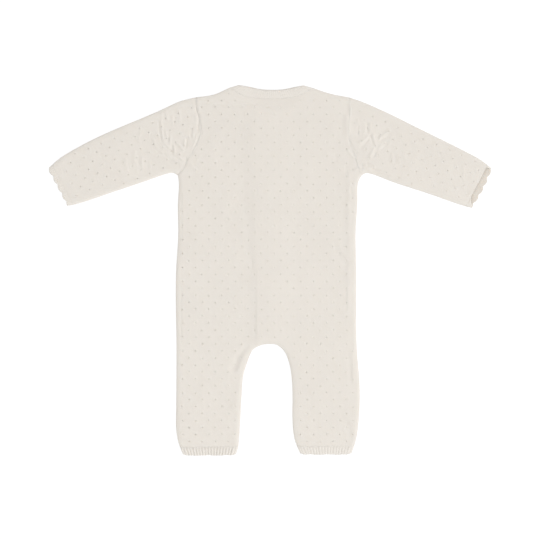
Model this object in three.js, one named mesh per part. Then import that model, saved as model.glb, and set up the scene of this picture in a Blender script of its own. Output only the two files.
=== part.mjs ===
// Baby romper in fine pointelle knit, laid flat and face down: long sleeves, long legs, ribbed neckband and
// leg cuffs, scalloped sleeve edging, and a buttoned placket down the hidden front.
// Millimetres. X runs across the garment, Y from the legs to the neck, Z up from the surface it lies on.
// Every piece of cloth is a wall between an outer and an inner grid of points, with a rim round its edges.

import * as THREE from 'three';

// Driving sizes of the cloth
const wallThickness = 1.8;
const layerGap = 1.8;
const seamGap = 0.3;
const trimGap = 0.5;
const neckSeamShift = 1.3;
const rollWidth = 6;
const topHeight = 2 * wallThickness + layerGap;
const seamHeight = topHeight / 2;

// Driving sizes of the trims
const edgingDepth = 9;
const scallopCount = 9;
const scallopDepth = 2.2;
const legCuffHeight = 13.5;
const neckRibCount = 34;
const legRibCount = 20;
const ribHeight = 0.6;

// The placket down the front, and its buttons
const placketX = -3.5;
const placketWidth = 29;
const underBandThickness = 1.6;
const buttonDiameter = 11.5;
const buttonThickness = 1.4;
const buttonCount = 7;
const firstButtonY = 216;
const buttonPitch = 49;
const placketLift = buttonThickness + seamGap;
const placketStack = placketLift + wallThickness + seamGap + underBandThickness + seamGap + wallThickness;
const placketRidge = placketStack - topHeight;

function table(columns, rows) {
  return rows.map((row) => Object.fromEntries(columns.map((column, i) => [column, row[i]])));
}

// A smooth line through a few points of the outline
function outline(points) {
  const vectors = points.map(([x, y]) => new THREE.Vector3(x, y, 0));
  const curve = new THREE.CatmullRomCurve3(vectors, false, 'centripetal');
  curve.arcLengthDivisions = 400;
  return curve;
}

// The outline of each side, from the middle outwards and from the neck down.
// The two sides differ a little, as a garment laid out by hand does.
const left = {
  sign: -1,
  shoulder: outline([[-58, 267], [-81.5, 256.7], [-107, 252.8]]),
  armhole: outline([[-107, 252.8], [-105, 235], [-99.5, 211], [-102, 193], [-113, 171], [-133.5, 139.5]]),
  sleeveUpper: outline([[-107, 252.8], [-129.5, 247.3], [-164.5, 231.5], [-244.5, 197.5], [-279, 180],
    [-304, 165], [-322.5, 149]]),
  sleeveLower: outline([[-133.5, 139.5], [-141, 143], [-150, 141.5], [-183.5, 130], [-240, 111],
    [-263, 103], [-281, 97.5], [-294, 95]]),
  side: outline([[-133.5, 139.5], [-132, 127.5], [-133.5, 95.5], [-133, 52], [-136, 1.5], [-136.5, -42],
    [-135.5, -107.5], [-135.8, -190], [-136, -228], [-133.5, -245.5], [-130.5, -255], [-125.5, -267.5]]),
  inseam: outline([[-3.5, -105.5], [-13.5, -107.5], [-24.5, -114], [-32.5, -131.5], [-39, -154], [-41, -180],
    [-43, -216.5], [-44.5, -241], [-46, -255], [-49.5, -267]]),
  neckEdge: [-45.5, 270.5],
};
const right = {
  sign: 1,
  shoulder: outline([[62, 266.5], [88, 258], [115.5, 252.5]]),
  armhole: outline([[115.5, 252.5], [116.5, 232], [114.5, 207.5], [116.5, 188.5], [123, 169], [133, 139]]),
  sleeveUpper: outline([[115.5, 252.5], [136, 245.5], [171, 230], [214.5, 208.5], [284, 174], [304.5, 163],
    [323, 149]]),
  sleeveLower: outline([[133, 139], [139, 142.5], [147.5, 141.5], [179.5, 129.5], [236, 111], [261, 102],
    [279, 96], [293.5, 92]]),
  side: outline([[133, 139], [128, 128], [127, 98.5], [124.5, 52], [125.5, 8.5], [125.5, -42], [126, -107.5],
    [130, -158.5], [130.5, -190.5], [128.5, -222], [125.5, -242.5], [122, -255], [118, -266]]),
  inseam: outline([[-3.5, -105.5], [9.5, -106.5], [20.5, -115.5], [28, -133], [32, -157], [33, -183],
    [33, -218], [35.5, -241], [40, -255], [45, -266]]),
  neckEdge: [49.5, 270],
};
const crotch = new THREE.Vector3(-3.5, -105.5, 0);

// The neck seam of the back and of the front, and the free edge of the band beyond each
const neck = {
  backSeam: outline([[-58, 267], [-42.5, 257], [-21, 251.5], [1.5, 250.5], [24, 251.5], [46, 256.5],
    [62, 266.5]]),
  backEdge: outline([[-45.5, 270.5], [-29.5, 267.9], [-13.5, 264.6], [1.5, 263.6], [17, 264], [34.5, 267.2],
    [49.5, 270]]),
  frontSeam: outline([[-58, 267], [-52, 248], [-36.5, 228.5], [1.5, 216], [40, 228.5], [55.5, 248],
    [62, 266.5]]),
  frontEdge: outline([[-45.5, 270.5], [-40.5, 252.5], [-28, 237], [1.5, 228.5], [31.5, 237], [44.5, 252.5],
    [49.5, 270]]),
};
// Creases of the back and the sleeves: soft ridges, or troughs where the height is negative
const creases = table(['fromX', 'fromY', 'toX', 'toY', 'halfWidth', 'height'], [
  [-108, 240, -104, 221, 4, -1.6],
  [-104, 221, -106, 202, 4, -1.6],
  [-113, 236, -112, 208, 5, 2.2],
  [-103, 198, -114, 172, 5, 1.8],
  [-121, 194, -125, 176, 5, 1.6],
  [-158, 226, -159, 196, 5, 2.4],
  [-159, 196, -143, 170, 5, 2.6],
  [-175, 196, -169, 179, 5, 2.2],
  [-169, 179, -145, 162, 5, 2.6],
  [-151, 203, -138, 188, 4.5, 2],
  [-138, 188, -126, 172, 4.5, 1.8],
  [-200, 170, -193, 138, 6, 1.2],
  [113, 238, 111, 199, 5, 2.6],
  [118, 190, 126, 170, 4.5, 1.6],
  [143, 211, 145, 184, 5, 2],
  [165, 200, 148, 170, 5, 2.2],
  [178, 203, 158, 170, 5, 1.8],
  [150, 147, 176, 134, 5, 1.8],
  [-33, -103, -56, -142, 5, -1.4],
  [-33, -118, -46, -143, 5, 2.6],
  [72, 50, 91, 19, 6, -1.3],
  [82, 53, 103, 22, 6, 1.6],
  [91, 19, 112, 6, 5, -1.2],
  [108, 122, 111, 55, 7, -1.2],
  [94, -56, 104, -100, 8, -1.2],
  [110, -136, 112, -160, 5, -1.2],
  [106, -230, 110, -250, 6, -1.2],
  [-66, 241, -28, 242, 5, -0.8],
]);

// The back sinks where no front lies under it, inside the front neckline
const neckDip = { x: 1.5, y: 262, radiusX: 42, radiusY: 32, depth: 1.4 };

function smooth(from, to, value) {
  return THREE.MathUtils.smoothstep(value, from, to);
}

function ridgeHeight(crease, x, y) {
  const alongX = crease.toX - crease.fromX;
  const alongY = crease.toY - crease.fromY;
  const lengthSquared = alongX * alongX + alongY * alongY;
  const share = ((x - crease.fromX) * alongX + (y - crease.fromY) * alongY) / lengthSquared;
  const nearest = THREE.MathUtils.clamp(share, 0, 1);
  const distance = Math.hypot(x - crease.fromX - nearest * alongX, y - crease.fromY - nearest * alongY);
  return crease.height * Math.exp(-((distance / crease.halfWidth) ** 2));
}

// How far the placket under it raises the back
function placketRise(x, y) {
  const across = 1 - smooth(placketWidth / 2 + 2, placketWidth / 2 + 7, Math.abs(x - placketX));
  const along = smooth(-112, -94, y) * (1 - smooth(236, 250, y));
  return placketRidge * across * along;
}

function topLevel(x, y) {
  const dipX = (x - neckDip.x) / neckDip.radiusX;
  const dipY = (y - neckDip.y) / neckDip.radiusY;
  const dip = neckDip.depth * (1 - smooth(0.6, 1.1, Math.hypot(dipX, dipY)));
  const heights = creases.map((crease) => ridgeHeight(crease, x, y));
  return topHeight + placketRise(x, y) + Math.max(0, ...heights) + Math.min(0, ...heights) - dip;
}

// The buttons hold the middle of the front clear of the surface
function bottomLevel(x, y) {
  const across = 1 - smooth(placketWidth / 2 + 1, placketWidth / 2 + 13, Math.abs(x - placketX));
  return placketLift * across * smooth(-108, -90, y);
}

// The lines where the cloth rolls over from its top to its underside, each with the cloth on its left
function lineOf(curve, reversed = false) {
  const points = curve.getSpacedPoints(60);
  return reversed ? points.reverse() : points;
}
const corner = ([x, y]) => new THREE.Vector3(x, y, 0);
const rollLines = [
  lineOf(right.side, true),
  lineOf(right.sleeveLower),
  lineOf(right.sleeveUpper, true),
  lineOf(right.shoulder, true),
  [right.shoulder.getPoint(0), corner(right.neckEdge)],
  [corner(left.neckEdge), left.shoulder.getPoint(0)],
  lineOf(left.shoulder),
  lineOf(left.sleeveUpper),
  lineOf(left.sleeveLower, true),
  lineOf(left.side),
  lineOf(left.inseam, true),
  lineOf(right.inseam),
];

// The distance from a point to the nearest rolled edge, and the way out of the cloth there
function nearestRoll(x, y) {
  let best = { distance: Infinity };
  for (const line of rollLines) {
    for (let i = 1; i < line.length; i += 1) {
      const start = line[i - 1];
      const alongX = line[i].x - start.x;
      const alongY = line[i].y - start.y;
      const length = Math.hypot(alongX, alongY);
      const share = ((x - start.x) * alongX + (y - start.y) * alongY) / (length * length);
      const nearest = THREE.MathUtils.clamp(share, 0, 1);
      const outX = start.x + nearest * alongX - x;
      const outY = start.y + nearest * alongY - y;
      const distance = Math.hypot(outX, outY);
      if (distance < best.distance) {
        const onLine = distance < 0.2;
        best = {
          distance,
          outX: onLine ? alongY / length : outX / distance,
          outY: onLine ? -alongX / length : outY / distance,
        };
      }
    }
  }
  best.distance = best.distance < 0.2 ? 0 : best.distance;
  return best;
}

// The outer and inner points of the cloth over a place in plan.
// layer is 1 for the cloth on top and -1 for the cloth underneath; split parts two walls that meet at the roll.
function clothPoint(x, y, layer, split, raise = 0, thickness = wallThickness) {
  const level = layer > 0 ? topLevel : bottomLevel;
  const roll = nearestRoll(x, y);
  const middle = seamHeight + layer * split;
  const depth = Math.max(1 - roll.distance / rollWidth, 0);
  const rise = Math.sqrt(1 - depth * depth);
  const height = middle + (level(x, y) - middle) * rise;
  const outer = new THREE.Vector3(x, y, height);
  const normal = new THREE.Vector3(roll.outX, roll.outY, 0);
  if (roll.distance > 0) {
    const steep = ((level(x, y) - middle) * depth) / (rollWidth * rise);
    const step = 0.5;
    const slopeX = (rise * (level(x + step, y) - level(x - step, y))) / (2 * step) - steep * roll.outX;
    const slopeY = (rise * (level(x, y + step) - level(x, y - step))) / (2 * step) - steep * roll.outY;
    normal.set(-layer * slopeX, -layer * slopeY, layer).normalize();
  }
  const inner = outer.clone().addScaledVector(normal, -thickness);
  outer.addScaledVector(normal, raise * rise);
  return { outer, inner };
}

// A piece of cloth is made of patches, each a grid of places in plan on one of the two layers
class Cloth {
  constructor(split = 0) {
    this.split = split;
    this.outer = [];
    this.inner = [];
    this.faces = [];
    this.known = new Map();
  }

  vertex({ outer, inner }) {
    const key = outer.toArray().map((value) => value.toFixed(3)).join(' ');
    if (!this.known.has(key)) {
      this.known.set(key, this.outer.length);
      this.outer.push(outer);
      this.inner.push(inner);
    }
    return this.known.get(key);
  }

  patch(grid, layer, raise = () => 0, lift = 0, thickness = wallThickness) {
    const indices = grid.map((row, i) => row.map((place, j) => {
      const point = clothPoint(place.x, place.y, layer, this.split, raise(i, j), thickness);
      point.outer.z += lift;
      point.inner.z += lift;
      return this.vertex(point);
    }));
    for (let i = 1; i < indices.length; i += 1) {
      for (let j = 1; j < indices[i].length; j += 1) {
        const [a, b] = [indices[i - 1][j - 1], indices[i - 1][j]];
        const [c, d] = [indices[i][j], indices[i][j - 1]];
        this.triangle(a, b, c, layer);
        this.triangle(a, c, d, layer);
      }
    }
    return this;
  }

  triangle(a, b, c, layer) {
    const [p, q, r] = [this.outer[a], this.outer[b], this.outer[c]];
    const turn = (q.x - p.x) * (r.y - p.y) - (q.y - p.y) * (r.x - p.x);
    if (a !== b && b !== c && a !== c) {
      this.faces.push(turn * layer > 0 ? [a, b, c] : [a, c, b]);
    }
  }

  geometry() {
    const count = this.outer.length;
    const positions = [...this.outer, ...this.inner].flatMap((point) => point.toArray());
    const index = [];
    const directed = new Set(this.faces.flatMap(([a, b, c]) => [`${a} ${b}`, `${b} ${c}`, `${c} ${a}`]));
    for (const [a, b, c] of this.faces) {
      index.push(a, b, c, c + count, b + count, a + count);
      for (const [from, to] of [[a, b], [b, c], [c, a]]) {
        if (!directed.has(`${to} ${from}`)) {
          index.push(to, from, from + count, to, from + count, to + count);
        }
      }
    }
    const geometry = new THREE.BufferGeometry();
    geometry.setAttribute('position', new THREE.Float32BufferAttribute(positions, 3));
    geometry.setIndex(index);
    geometry.computeVertexNormals();
    return geometry;
  }
}

const range = (count) => Array.from({ length: count }, (_, i) => i);
const mix = (a, b, share) => a.clone().lerp(b, share);
const atArc = (curve, arc) => curve.getPointAt(THREE.MathUtils.clamp(arc / curve.getLength(), 0, 1));

// Columns across half a panel, closer together at the seam and at the middle where the form turns
const backCut = {
  columns: [0, 0.018, 0.06, 0.16, 0.3, 0.45, 0.6, 0.74, 0.84, 0.876, 0.94, 0.975, 1],
  armhole: [0, 0.02, 0.07, 0.15, 0.25, 0.35, 0.45, 0.55, 0.65, 0.75, 0.85, 0.93, 0.98, 1],
  sideRows: 17,
  legRows: 11,
};
const frontCut = {
  columns: [0, 0.03, 0.1, 0.45, 0.68, 0.86, 0.96, 1],
  armhole: [0, 0.02, 0.07, 0.2, 0.35, 0.5, 0.65, 0.8, 0.93, 0.98, 1],
  sideRows: 12,
  legRows: 8,
};
const neckCornerShare = 0.45;
const crotchShareOfSide = 0.613;

// The grid of half a panel from its neck seam to the leg cuff.
// neckLine and middleLine take a share from the shoulder inwards and from the neck down.
function halfPanel(side, cut, neckLine, bottom, inseamStart) {
  const sideAtCrotch = side.side.getLength() * crotchShareOfSide;
  const sideEnd = side.side.getLength() - legCuffHeight;
  const inseamEnd = side.inseam.getLength() - legCuffHeight;
  const { columns, armhole, sideRows, legRows } = cut;
  const middle = (down) => mix(neckLine(1), bottom, down);
  const armholeDown = 0.3;
  const onArmhole = armhole.map((share) => {
    const edge = side.armhole.getPointAt(share);
    return columns.map((w) => {
      const straight = mix(side.armhole.getPointAt(0), neckLine(1), w);
      const place = mix(edge, middle(share * armholeDown), w);
      return place.addScaledVector(neckLine(w).sub(straight), (1 - share) ** 1.5);
    });
  });
  const onSide = range(sideRows + 1).map((i) => {
    const share = i / sideRows;
    const edge = atArc(side.side, share * sideAtCrotch);
    return columns.map((w) => mix(edge, middle(THREE.MathUtils.lerp(armholeDown, 1, share)), w));
  });
  const leg = range(legRows + 1).map((i) => {
    const outer = atArc(side.side, THREE.MathUtils.lerp(sideAtCrotch, sideEnd, i / legRows));
    const inner = atArc(side.inseam, THREE.MathUtils.lerp(inseamStart, inseamEnd, i / legRows));
    return columns.map((w) => mix(outer, inner, w));
  });
  return [onArmhole, onSide, leg];
}

// The top of half a panel: the shoulder seam as far as the neck corner, then the neck seam to the middle
function neckLineOf(side, seam, seamMiddle) {
  return (w) => {
    if (w < neckCornerShare) {
      return side.shoulder.getPointAt(1 - w / neckCornerShare);
    }
    const inwards = (w - neckCornerShare) / (1 - neckCornerShare);
    const share = side.sign < 0 ? inwards * seamMiddle : 1 - inwards * (1 - seamMiddle);
    return seam.getPointAt(share);
  };
}

function shareWhereX(curve, x) {
  const steps = 2000;
  return range(steps).find((i) => curve.getPointAt(i / steps).x >= x) / steps;
}

function inseamArcBeside(side, x) {
  const length = side.inseam.getLength();
  const steps = 2000;
  const found = range(steps).find((i) => (side.inseam.getPointAt(i / steps).x - x) * side.sign >= 0);
  return (found / steps) * length;
}

const backMaterial = new THREE.MeshStandardMaterial({ color: 0xe8e3db, roughness: 0.92, metalness: 0 });
const ribMaterial = new THREE.MeshStandardMaterial({ color: 0xe6e0d7, roughness: 0.92, metalness: 0 });
const buttonMaterial = new THREE.MeshStandardMaterial({ color: 0xe9e2d5, roughness: 0.35, metalness: 0 });

function mesh(name, geometry, material) {
  const piece = new THREE.Mesh(geometry, material);
  piece.name = name;
  return piece;
}

// The back: both halves share the middle column down to the crotch
function makeBack() {
  const cloth = new Cloth(seamGap / 2);
  const middleShare = shareWhereX(neck.backSeam, placketX);
  for (const side of [left, right]) {
    const neckLine = neckLineOf(side, neck.backSeam, middleShare);
    halfPanel(side, backCut, neckLine, crotch, 0).forEach((grid) => cloth.patch(grid, 1));
  }
  return mesh('back', cloth.geometry(), backMaterial);
}

// Each front panel runs from the side seam to the placket
function makeFront(side, name) {
  const cloth = new Cloth(seamGap / 2);
  const edgeX = placketX + side.sign * (placketWidth / 2 + seamGap);
  const start = inseamArcBeside(side, edgeX);
  const middleShare = shareWhereX(neck.frontSeam, edgeX);
  const neckLine = neckLineOf(side, neck.frontSeam, middleShare);
  const grids = halfPanel(side, frontCut, neckLine, atArc(side.inseam, start), start);
  grids.forEach((grid) => cloth.patch(grid, -1));
  return mesh(name, cloth.geometry(), backMaterial);
}

// A sleeve's place in plan: across from its upper edge to its lower one, and along from armhole to cuff line
const armholePull = 0.4;
const sleeveSeamShift = 0.7;
const sleeveSlope = THREE.MathUtils.degToRad(21);
function sleevePlace(side, across, along, fromCuff = 0) {
  const upperEnd = side.sleeveUpper.getLength() - edgingDepth;
  const lowerEnd = side.sleeveLower.getLength() - edgingDepth;
  const upper = atArc(side.sleeveUpper, upperEnd * along + fromCuff);
  const lower = atArc(side.sleeveLower, lowerEnd * along + fromCuff);
  const place = mix(upper, lower, across);
  const pull = Math.max(1 - along / armholePull, 0) ** 1.5;
  const chord = mix(side.armhole.getPointAt(0), side.armhole.getPointAt(1), across);
  place.addScaledVector(side.armhole.getPointAt(across).sub(chord), pull);
  place.x += side.sign * sleeveSeamShift * Math.cos(sleeveSlope) * pull;
  place.y -= sleeveSeamShift * Math.sin(sleeveSlope) * pull;
  return place;
}

// Stations along a sleeve, closer together where the wrinkles are
const sleeveStations = [0, 0.02, 0.045, 0.07, 0.095, 0.12, 0.145, 0.17, 0.195, 0.22, 0.25, 0.28, 0.32, 0.37,
  0.43, 0.5, 0.58, 0.67, 0.76, 0.85, 0.93, 1];

function makeSleeve(side, name) {
  const cloth = new Cloth();
  const row = (along, shares) => shares.map((across) => sleevePlace(side, across, along));
  const rows = (shares) => sleeveStations.map((along) => row(along, shares));
  cloth.patch(rows(backCut.armhole), 1);
  cloth.patch(rows(frontCut.armhole), -1);
  return mesh(name, cloth.geometry(), backMaterial);
}

// The edging goes on from the sleeve's end to the scalloped cuff line.
// Its half on top reaches only as far as turnedDepth where it is turned in.
function makeSleeveEdging(side, name, turnedDepth) {
  const cloth = new Cloth();
  const steps = 28;
  const rowShares = [0, 0.5, 1];
  const rows = (layer) => rowShares.map((rowShare) => range(steps + 1).map((j) => {
    const across = j / steps;
    const round = layer > 0 ? across : 2 - across;
    const scallop = scallopDepth * (1 - Math.abs(Math.sin((Math.PI * scallopCount * round) / 2)));
    const corners = Math.min(smooth(0, 0.1, across), smooth(0, 0.16, 1 - across));
    const reach = edgingDepth - scallop;
    const depth = layer > 0 ? THREE.MathUtils.lerp(reach, Math.min(turnedDepth, reach), corners) : reach;
    return sleevePlace(side, across, 1, trimGap + rowShare * (depth - trimGap));
  }));
  cloth.patch(rows(1), 1);
  cloth.patch(rows(-1), -1);
  return mesh(name, cloth.geometry(), ribMaterial);
}

// The leg cuffs: ribs stand up on the side that shows
function makeLegCuff(side, name) {
  const cloth = new Cloth();
  const place = (across, share) => {
    const sideStart = side.side.getLength() - legCuffHeight;
    const inseamStart = side.inseam.getLength() - legCuffHeight;
    const down = trimGap + share * (legCuffHeight - trimGap);
    return mix(atArc(side.side, sideStart + down), atArc(side.inseam, inseamStart + down), across);
  };
  const rowShares = [0, 0.5, 1];
  const topSteps = 2 * legRibCount;
  const edges = [0, 0.02, 0.06];
  const topShares = [...edges, ...range(topSteps + 1).map((j) => 0.08 + (0.84 * j) / topSteps),
    ...edges.map((share) => 1 - share).reverse()];
  const raised = (i, j) => (j >= edges.length && (j - edges.length) % 2 === 1 ? ribHeight : 0);
  cloth.patch(rowShares.map((share) => topShares.map((across) => place(across, share))), 1, raised);
  const bottomShares = [0, 0.02, 0.06, 0.3, 0.5, 0.7, 0.94, 0.98, 1];
  cloth.patch(rowShares.map((share) => bottomShares.map((across) => place(across, share))), -1);
  return mesh(name, cloth.geometry(), ribMaterial);
}

// A seam as the panels cut it, straight between their columns
function cutLine(curve, knots) {
  const points = knots.map((knot) => curve.getPointAt(knot));
  return (share) => {
    const i = Math.min(Math.max(knots.findIndex((knot) => knot >= share), 1), knots.length - 1);
    return mix(points[i - 1], points[i], (share - knots[i - 1]) / (knots[i] - knots[i - 1]));
  };
}

// The shares of the neck seam at a panel's columns, from its corner to the middle
function neckKnots(columns, seamMiddle) {
  const inwards = columns.filter((w) => w >= neckCornerShare);
  return inwards.map((w) => ((w - neckCornerShare) / (1 - neckCornerShare)) * seamMiddle);
}

// The neckband is a strip round the neck, open where the placket passes
function makeNeckband() {
  const cloth = new Cloth();
  const acrossShares = [0, 0.5, 1];
  const strip = (start, end) => {
    const seamShare = neckSeamShift / start.distanceTo(end);
    return acrossShares.map((across) => mix(start, end, THREE.MathUtils.lerp(seamShare, 1, across)));
  };
  const folds = [0, 0.012, 0.035];
  const backSteps = 2 * neckRibCount;
  const backStations = [...folds, ...range(backSteps + 1).map((i) => 0.05 + (0.9 * i) / backSteps),
    ...folds.map((share) => 1 - share).reverse()];
  const middleShare = shareWhereX(neck.backSeam, placketX);
  const leftKnots = neckKnots(backCut.columns, middleShare);
  const rightKnots = neckKnots(backCut.columns, 1 - middleShare).map((knot) => 1 - knot).reverse();
  const backSeam = cutLine(neck.backSeam, [...leftKnots, ...rightKnots.slice(1)]);
  const raised = (i) => (i >= folds.length && (i - folds.length) % 2 === 1 ? ribHeight : 0);
  const backRows = backStations.map((share) => strip(backSeam(share), neck.backEdge.getPointAt(share)));
  cloth.patch(backRows, 1, raised);
  const frontStations = [0, 0.03, 0.08, 0.2, 0.35, 0.5, 0.65, 0.8, 0.9, 1];
  for (const side of [left, right]) {
    const stopX = placketX + side.sign * (placketWidth / 2 + seamGap);
    const fromCorner = (share) => (side.sign < 0 ? share : 1 - share);
    const seamStop = fromCorner(shareWhereX(neck.frontSeam, stopX));
    const edgeStop = fromCorner(shareWhereX(neck.frontEdge, stopX));
    const seamLine = (share) => neck.frontSeam.getPointAt(fromCorner(share));
    const knots = neckKnots(frontCut.columns, seamStop);
    const cutSeam = cutLine({ getPointAt: seamLine }, knots);
    cloth.patch(frontStations.map((share) => strip(
      cutSeam(share * seamStop),
      neck.frontEdge.getPointAt(fromCorner(share * edgeStop)),
    )), -1);
  }
  return mesh('neckband', cloth.geometry(), ribMaterial);
}

// The over band fills the gap between the front panels, and the under band lies on its inner side
const placketTopY = 227;
const placketRows = 14;
function placketGrid(bottomY) {
  const half = placketWidth / 2;
  return range(placketRows + 1).map((i) => [-1, 0, 1].map((across) => {
    const x = placketX + across * half;
    return new THREE.Vector3(x, THREE.MathUtils.lerp(placketTopY, bottomY(x), i / placketRows), 0);
  }));
}

function makePlacketOver() {
  const cloth = new Cloth(seamGap / 2);
  const edge = rollWidth + 1;
  const crotchY = (x) => {
    const side = x < crotch.x ? left : right;
    return x === crotch.x ? crotch.y : atArc(side.inseam, inseamArcBeside(side, x)).y;
  };
  cloth.patch(placketGrid((x) => crotchY(x) + edge), -1);
  return mesh('placket_over', cloth.geometry(), ribMaterial);
}

function makePlacketUnder() {
  const cloth = new Cloth(seamGap / 2);
  const clearOfCrotch = 16;
  const lift = wallThickness + seamGap;
  cloth.patch(placketGrid(() => crotch.y + clearOfCrotch), -1, () => 0, lift, underBandThickness);
  return mesh('placket_under', cloth.geometry(), ribMaterial);
}

// A button is a disc with a rounded rim and a shallow dish, face down on the surface
function makeButton(number) {
  const radius = buttonDiameter / 2;
  const bevel = 0.4;
  const dish = 0.4;
  const profile = [
    [0, dish], [radius * 0.55, dish], [radius * 0.7, 0], [radius - bevel, 0], [radius, bevel],
    [radius, buttonThickness], [0, buttonThickness],
  ].map(([r, z]) => new THREE.Vector2(r, z));
  const geometry = new THREE.LatheGeometry(profile, 12).rotateX(Math.PI / 2);
  const button = mesh(`button_${number}`, geometry, buttonMaterial);
  button.position.set(placketX, firstButtonY - (number - 1) * buttonPitch, 0);
  return button;
}

const romper = new THREE.Group();
romper.add(makeBack());
romper.add(makeFront(left, 'front_left'));
romper.add(makeFront(right, 'front_right'));
romper.add(makeSleeve(left, 'sleeve_left'));
romper.add(makeSleeve(right, 'sleeve_right'));
romper.add(makeSleeveEdging(left, 'sleeve_edge_left', edgingDepth));
romper.add(makeSleeveEdging(right, 'sleeve_edge_right', 1.2));
romper.add(makeLegCuff(left, 'leg_cuff_left'));
romper.add(makeLegCuff(right, 'leg_cuff_right'));
romper.add(makeNeckband());
romper.add(makePlacketOver());
romper.add(makePlacketUnder());
for (const i of range(buttonCount)) {
  romper.add(makeButton(i + 1));
}

export default romper;
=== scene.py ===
# %% [markdown]
# A knitted baby romper, laid flat and seen from above
#
# This lesson dresses a plain model of a baby romper as fine cream knitwear. The romper lies face down, so
# its back shows. The plain model holds the true sizes, and each piece here is made again on the same form,
# with a finer mesh, real eyelets, round ribs, sewn seams and a knitted finish.

# %% Load the plain model and the tools
import math

import bpy
import numpy as np
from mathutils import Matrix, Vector, kdtree, noise
from mathutils.geometry import delaunay_2d_cdt


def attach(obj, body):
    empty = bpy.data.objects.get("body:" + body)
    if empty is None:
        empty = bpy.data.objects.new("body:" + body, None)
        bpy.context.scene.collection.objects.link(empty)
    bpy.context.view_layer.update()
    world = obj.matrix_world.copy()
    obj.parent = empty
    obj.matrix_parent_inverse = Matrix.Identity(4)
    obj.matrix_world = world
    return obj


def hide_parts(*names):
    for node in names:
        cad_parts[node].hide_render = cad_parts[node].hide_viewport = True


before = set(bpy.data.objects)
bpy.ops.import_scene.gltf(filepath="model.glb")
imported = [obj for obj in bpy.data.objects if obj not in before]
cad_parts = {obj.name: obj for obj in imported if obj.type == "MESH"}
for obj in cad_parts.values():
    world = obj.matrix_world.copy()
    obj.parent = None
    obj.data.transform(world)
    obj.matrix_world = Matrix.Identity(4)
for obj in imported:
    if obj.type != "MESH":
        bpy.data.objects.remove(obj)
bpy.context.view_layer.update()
MM = 0.001
print("pieces in the plain model:", len(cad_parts))

# %% [markdown]
# The camera comes first. A product photo of laid-out clothes is taken from straight above with a long
# lens, so there is hardly any perspective. The width of the view is a real size: the romper is 540 mm from
# neck to hem and fills 372 of the photo's 540 pixels, which makes the view 784 mm wide.

# %% Camera straight above the romper
NECK_TO_HEM = 540 * MM
PHOTO_PIXELS = 540
NECK_TO_HEM_PIXELS = 372
VIEW_WIDTH = NECK_TO_HEM * PHOTO_PIXELS / NECK_TO_HEM_PIXELS
CAMERA_HEIGHT = 2.6
CLOTH_HEIGHT = 4 * MM
VIEW_CENTRE = (0.3 * MM, 2.0 * MM)

camera_data = bpy.data.cameras.new("camera")
camera_data.sensor_width = 36
camera_data.lens = camera_data.sensor_width * (CAMERA_HEIGHT - CLOTH_HEIGHT) / VIEW_WIDTH
camera = bpy.data.objects.new("camera", camera_data)
camera.location = (*VIEW_CENTRE, CAMERA_HEIGHT)
bpy.context.scene.collection.objects.link(camera)
bpy.context.scene.camera = camera
print("lens, mm:", round(camera_data.lens, 1))

# %% [markdown]
# A garment's outline is a few smooth lines: shoulder, armhole, sleeve, side and inseam. Each is given by a
# handful of points and joined with a Catmull-Rom curve, which passes through all of them. Helpers then
# measure along a line, because seams, ribs and stitches are spaced by length and not by the given points.


# %% Smooth lines, measured by length
def smooth_line(points, steps=30):
    given = np.array(points, float) * MM
    first = 2 * given[0] - given[1]
    last = 2 * given[-1] - given[-2]
    path = np.vstack([first, given, last])
    share = np.linspace(0, 1, steps, endpoint=False)[:, None]
    found = []
    for i in range(1, len(path) - 2):
        before, start, end, after = path[i - 1 : i + 3]
        gap_a = np.linalg.norm(start - before) ** 0.5
        gap_b = np.linalg.norm(end - start) ** 0.5
        gap_c = np.linalg.norm(after - end) ** 0.5
        leave = (start - before) / gap_a - (end - before) / (gap_a + gap_b) + (end - start) / gap_b
        arrive = (end - start) / gap_b - (after - start) / (gap_b + gap_c) + (after - end) / gap_c
        found.append(
            (2 * share**3 - 3 * share**2 + 1) * start
            + (share**3 - 2 * share**2 + share) * leave * gap_b
            + (3 * share**2 - 2 * share**3) * end
            + (share**3 - share**2) * arrive * gap_b
        )
    found.append(given[-1:])
    return np.vstack(found)


def lengths(line):
    steps = np.linalg.norm(np.diff(line, axis=0), axis=1)
    return np.concatenate([[0], np.cumsum(steps)])


def at(line, distances):
    known = lengths(line)
    return np.column_stack([np.interp(distances, known, line[:, axis]) for axis in range(line.shape[1])])


def stretch(line, start, end, step=2.5 * MM):
    count = max(round(abs(end - start) / step), 1)
    return at(line, np.linspace(start, end, count + 1))


def total(line):
    return lengths(line)[-1]


# %% [markdown]
# These are the outlines, in millimetres from the middle of the romper, with the neck at the top. The two
# sides differ a little, because the romper was laid out by hand.

# %% The outline of each side
LEFT = {
    "sign": -1,
    "shoulder": [(-58, 267), (-81.5, 256.7), (-107, 252.8)],
    "armhole": [(-107, 252.8), (-105, 235), (-99.5, 211), (-102, 193), (-113, 171), (-133.5, 139.5)],
    "sleeve_upper": [(-107, 252.8), (-129.5, 247.3), (-164.5, 231.5), (-244.5, 197.5), (-279, 180),
                     (-304, 165), (-322.5, 149)],
    "sleeve_lower": [(-133.5, 139.5), (-141, 143), (-150, 141.5), (-183.5, 130), (-240, 111), (-263, 103),
                     (-281, 97.5), (-294, 95)],
    "side": [(-133.5, 139.5), (-132, 127.5), (-133.5, 95.5), (-133, 52), (-136, 1.5), (-136.5, -42),
             (-135.5, -107.5), (-135.8, -190), (-136, -228), (-133.5, -245.5), (-130.5, -255),
             (-125.5, -267.5)],
    "inseam": [(-3.5, -105.5), (-13.5, -107.5), (-24.5, -114), (-32.5, -131.5), (-39, -154), (-41, -180),
               (-43, -216.5), (-44.5, -241), (-46, -255), (-49.5, -267)],
}
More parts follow.
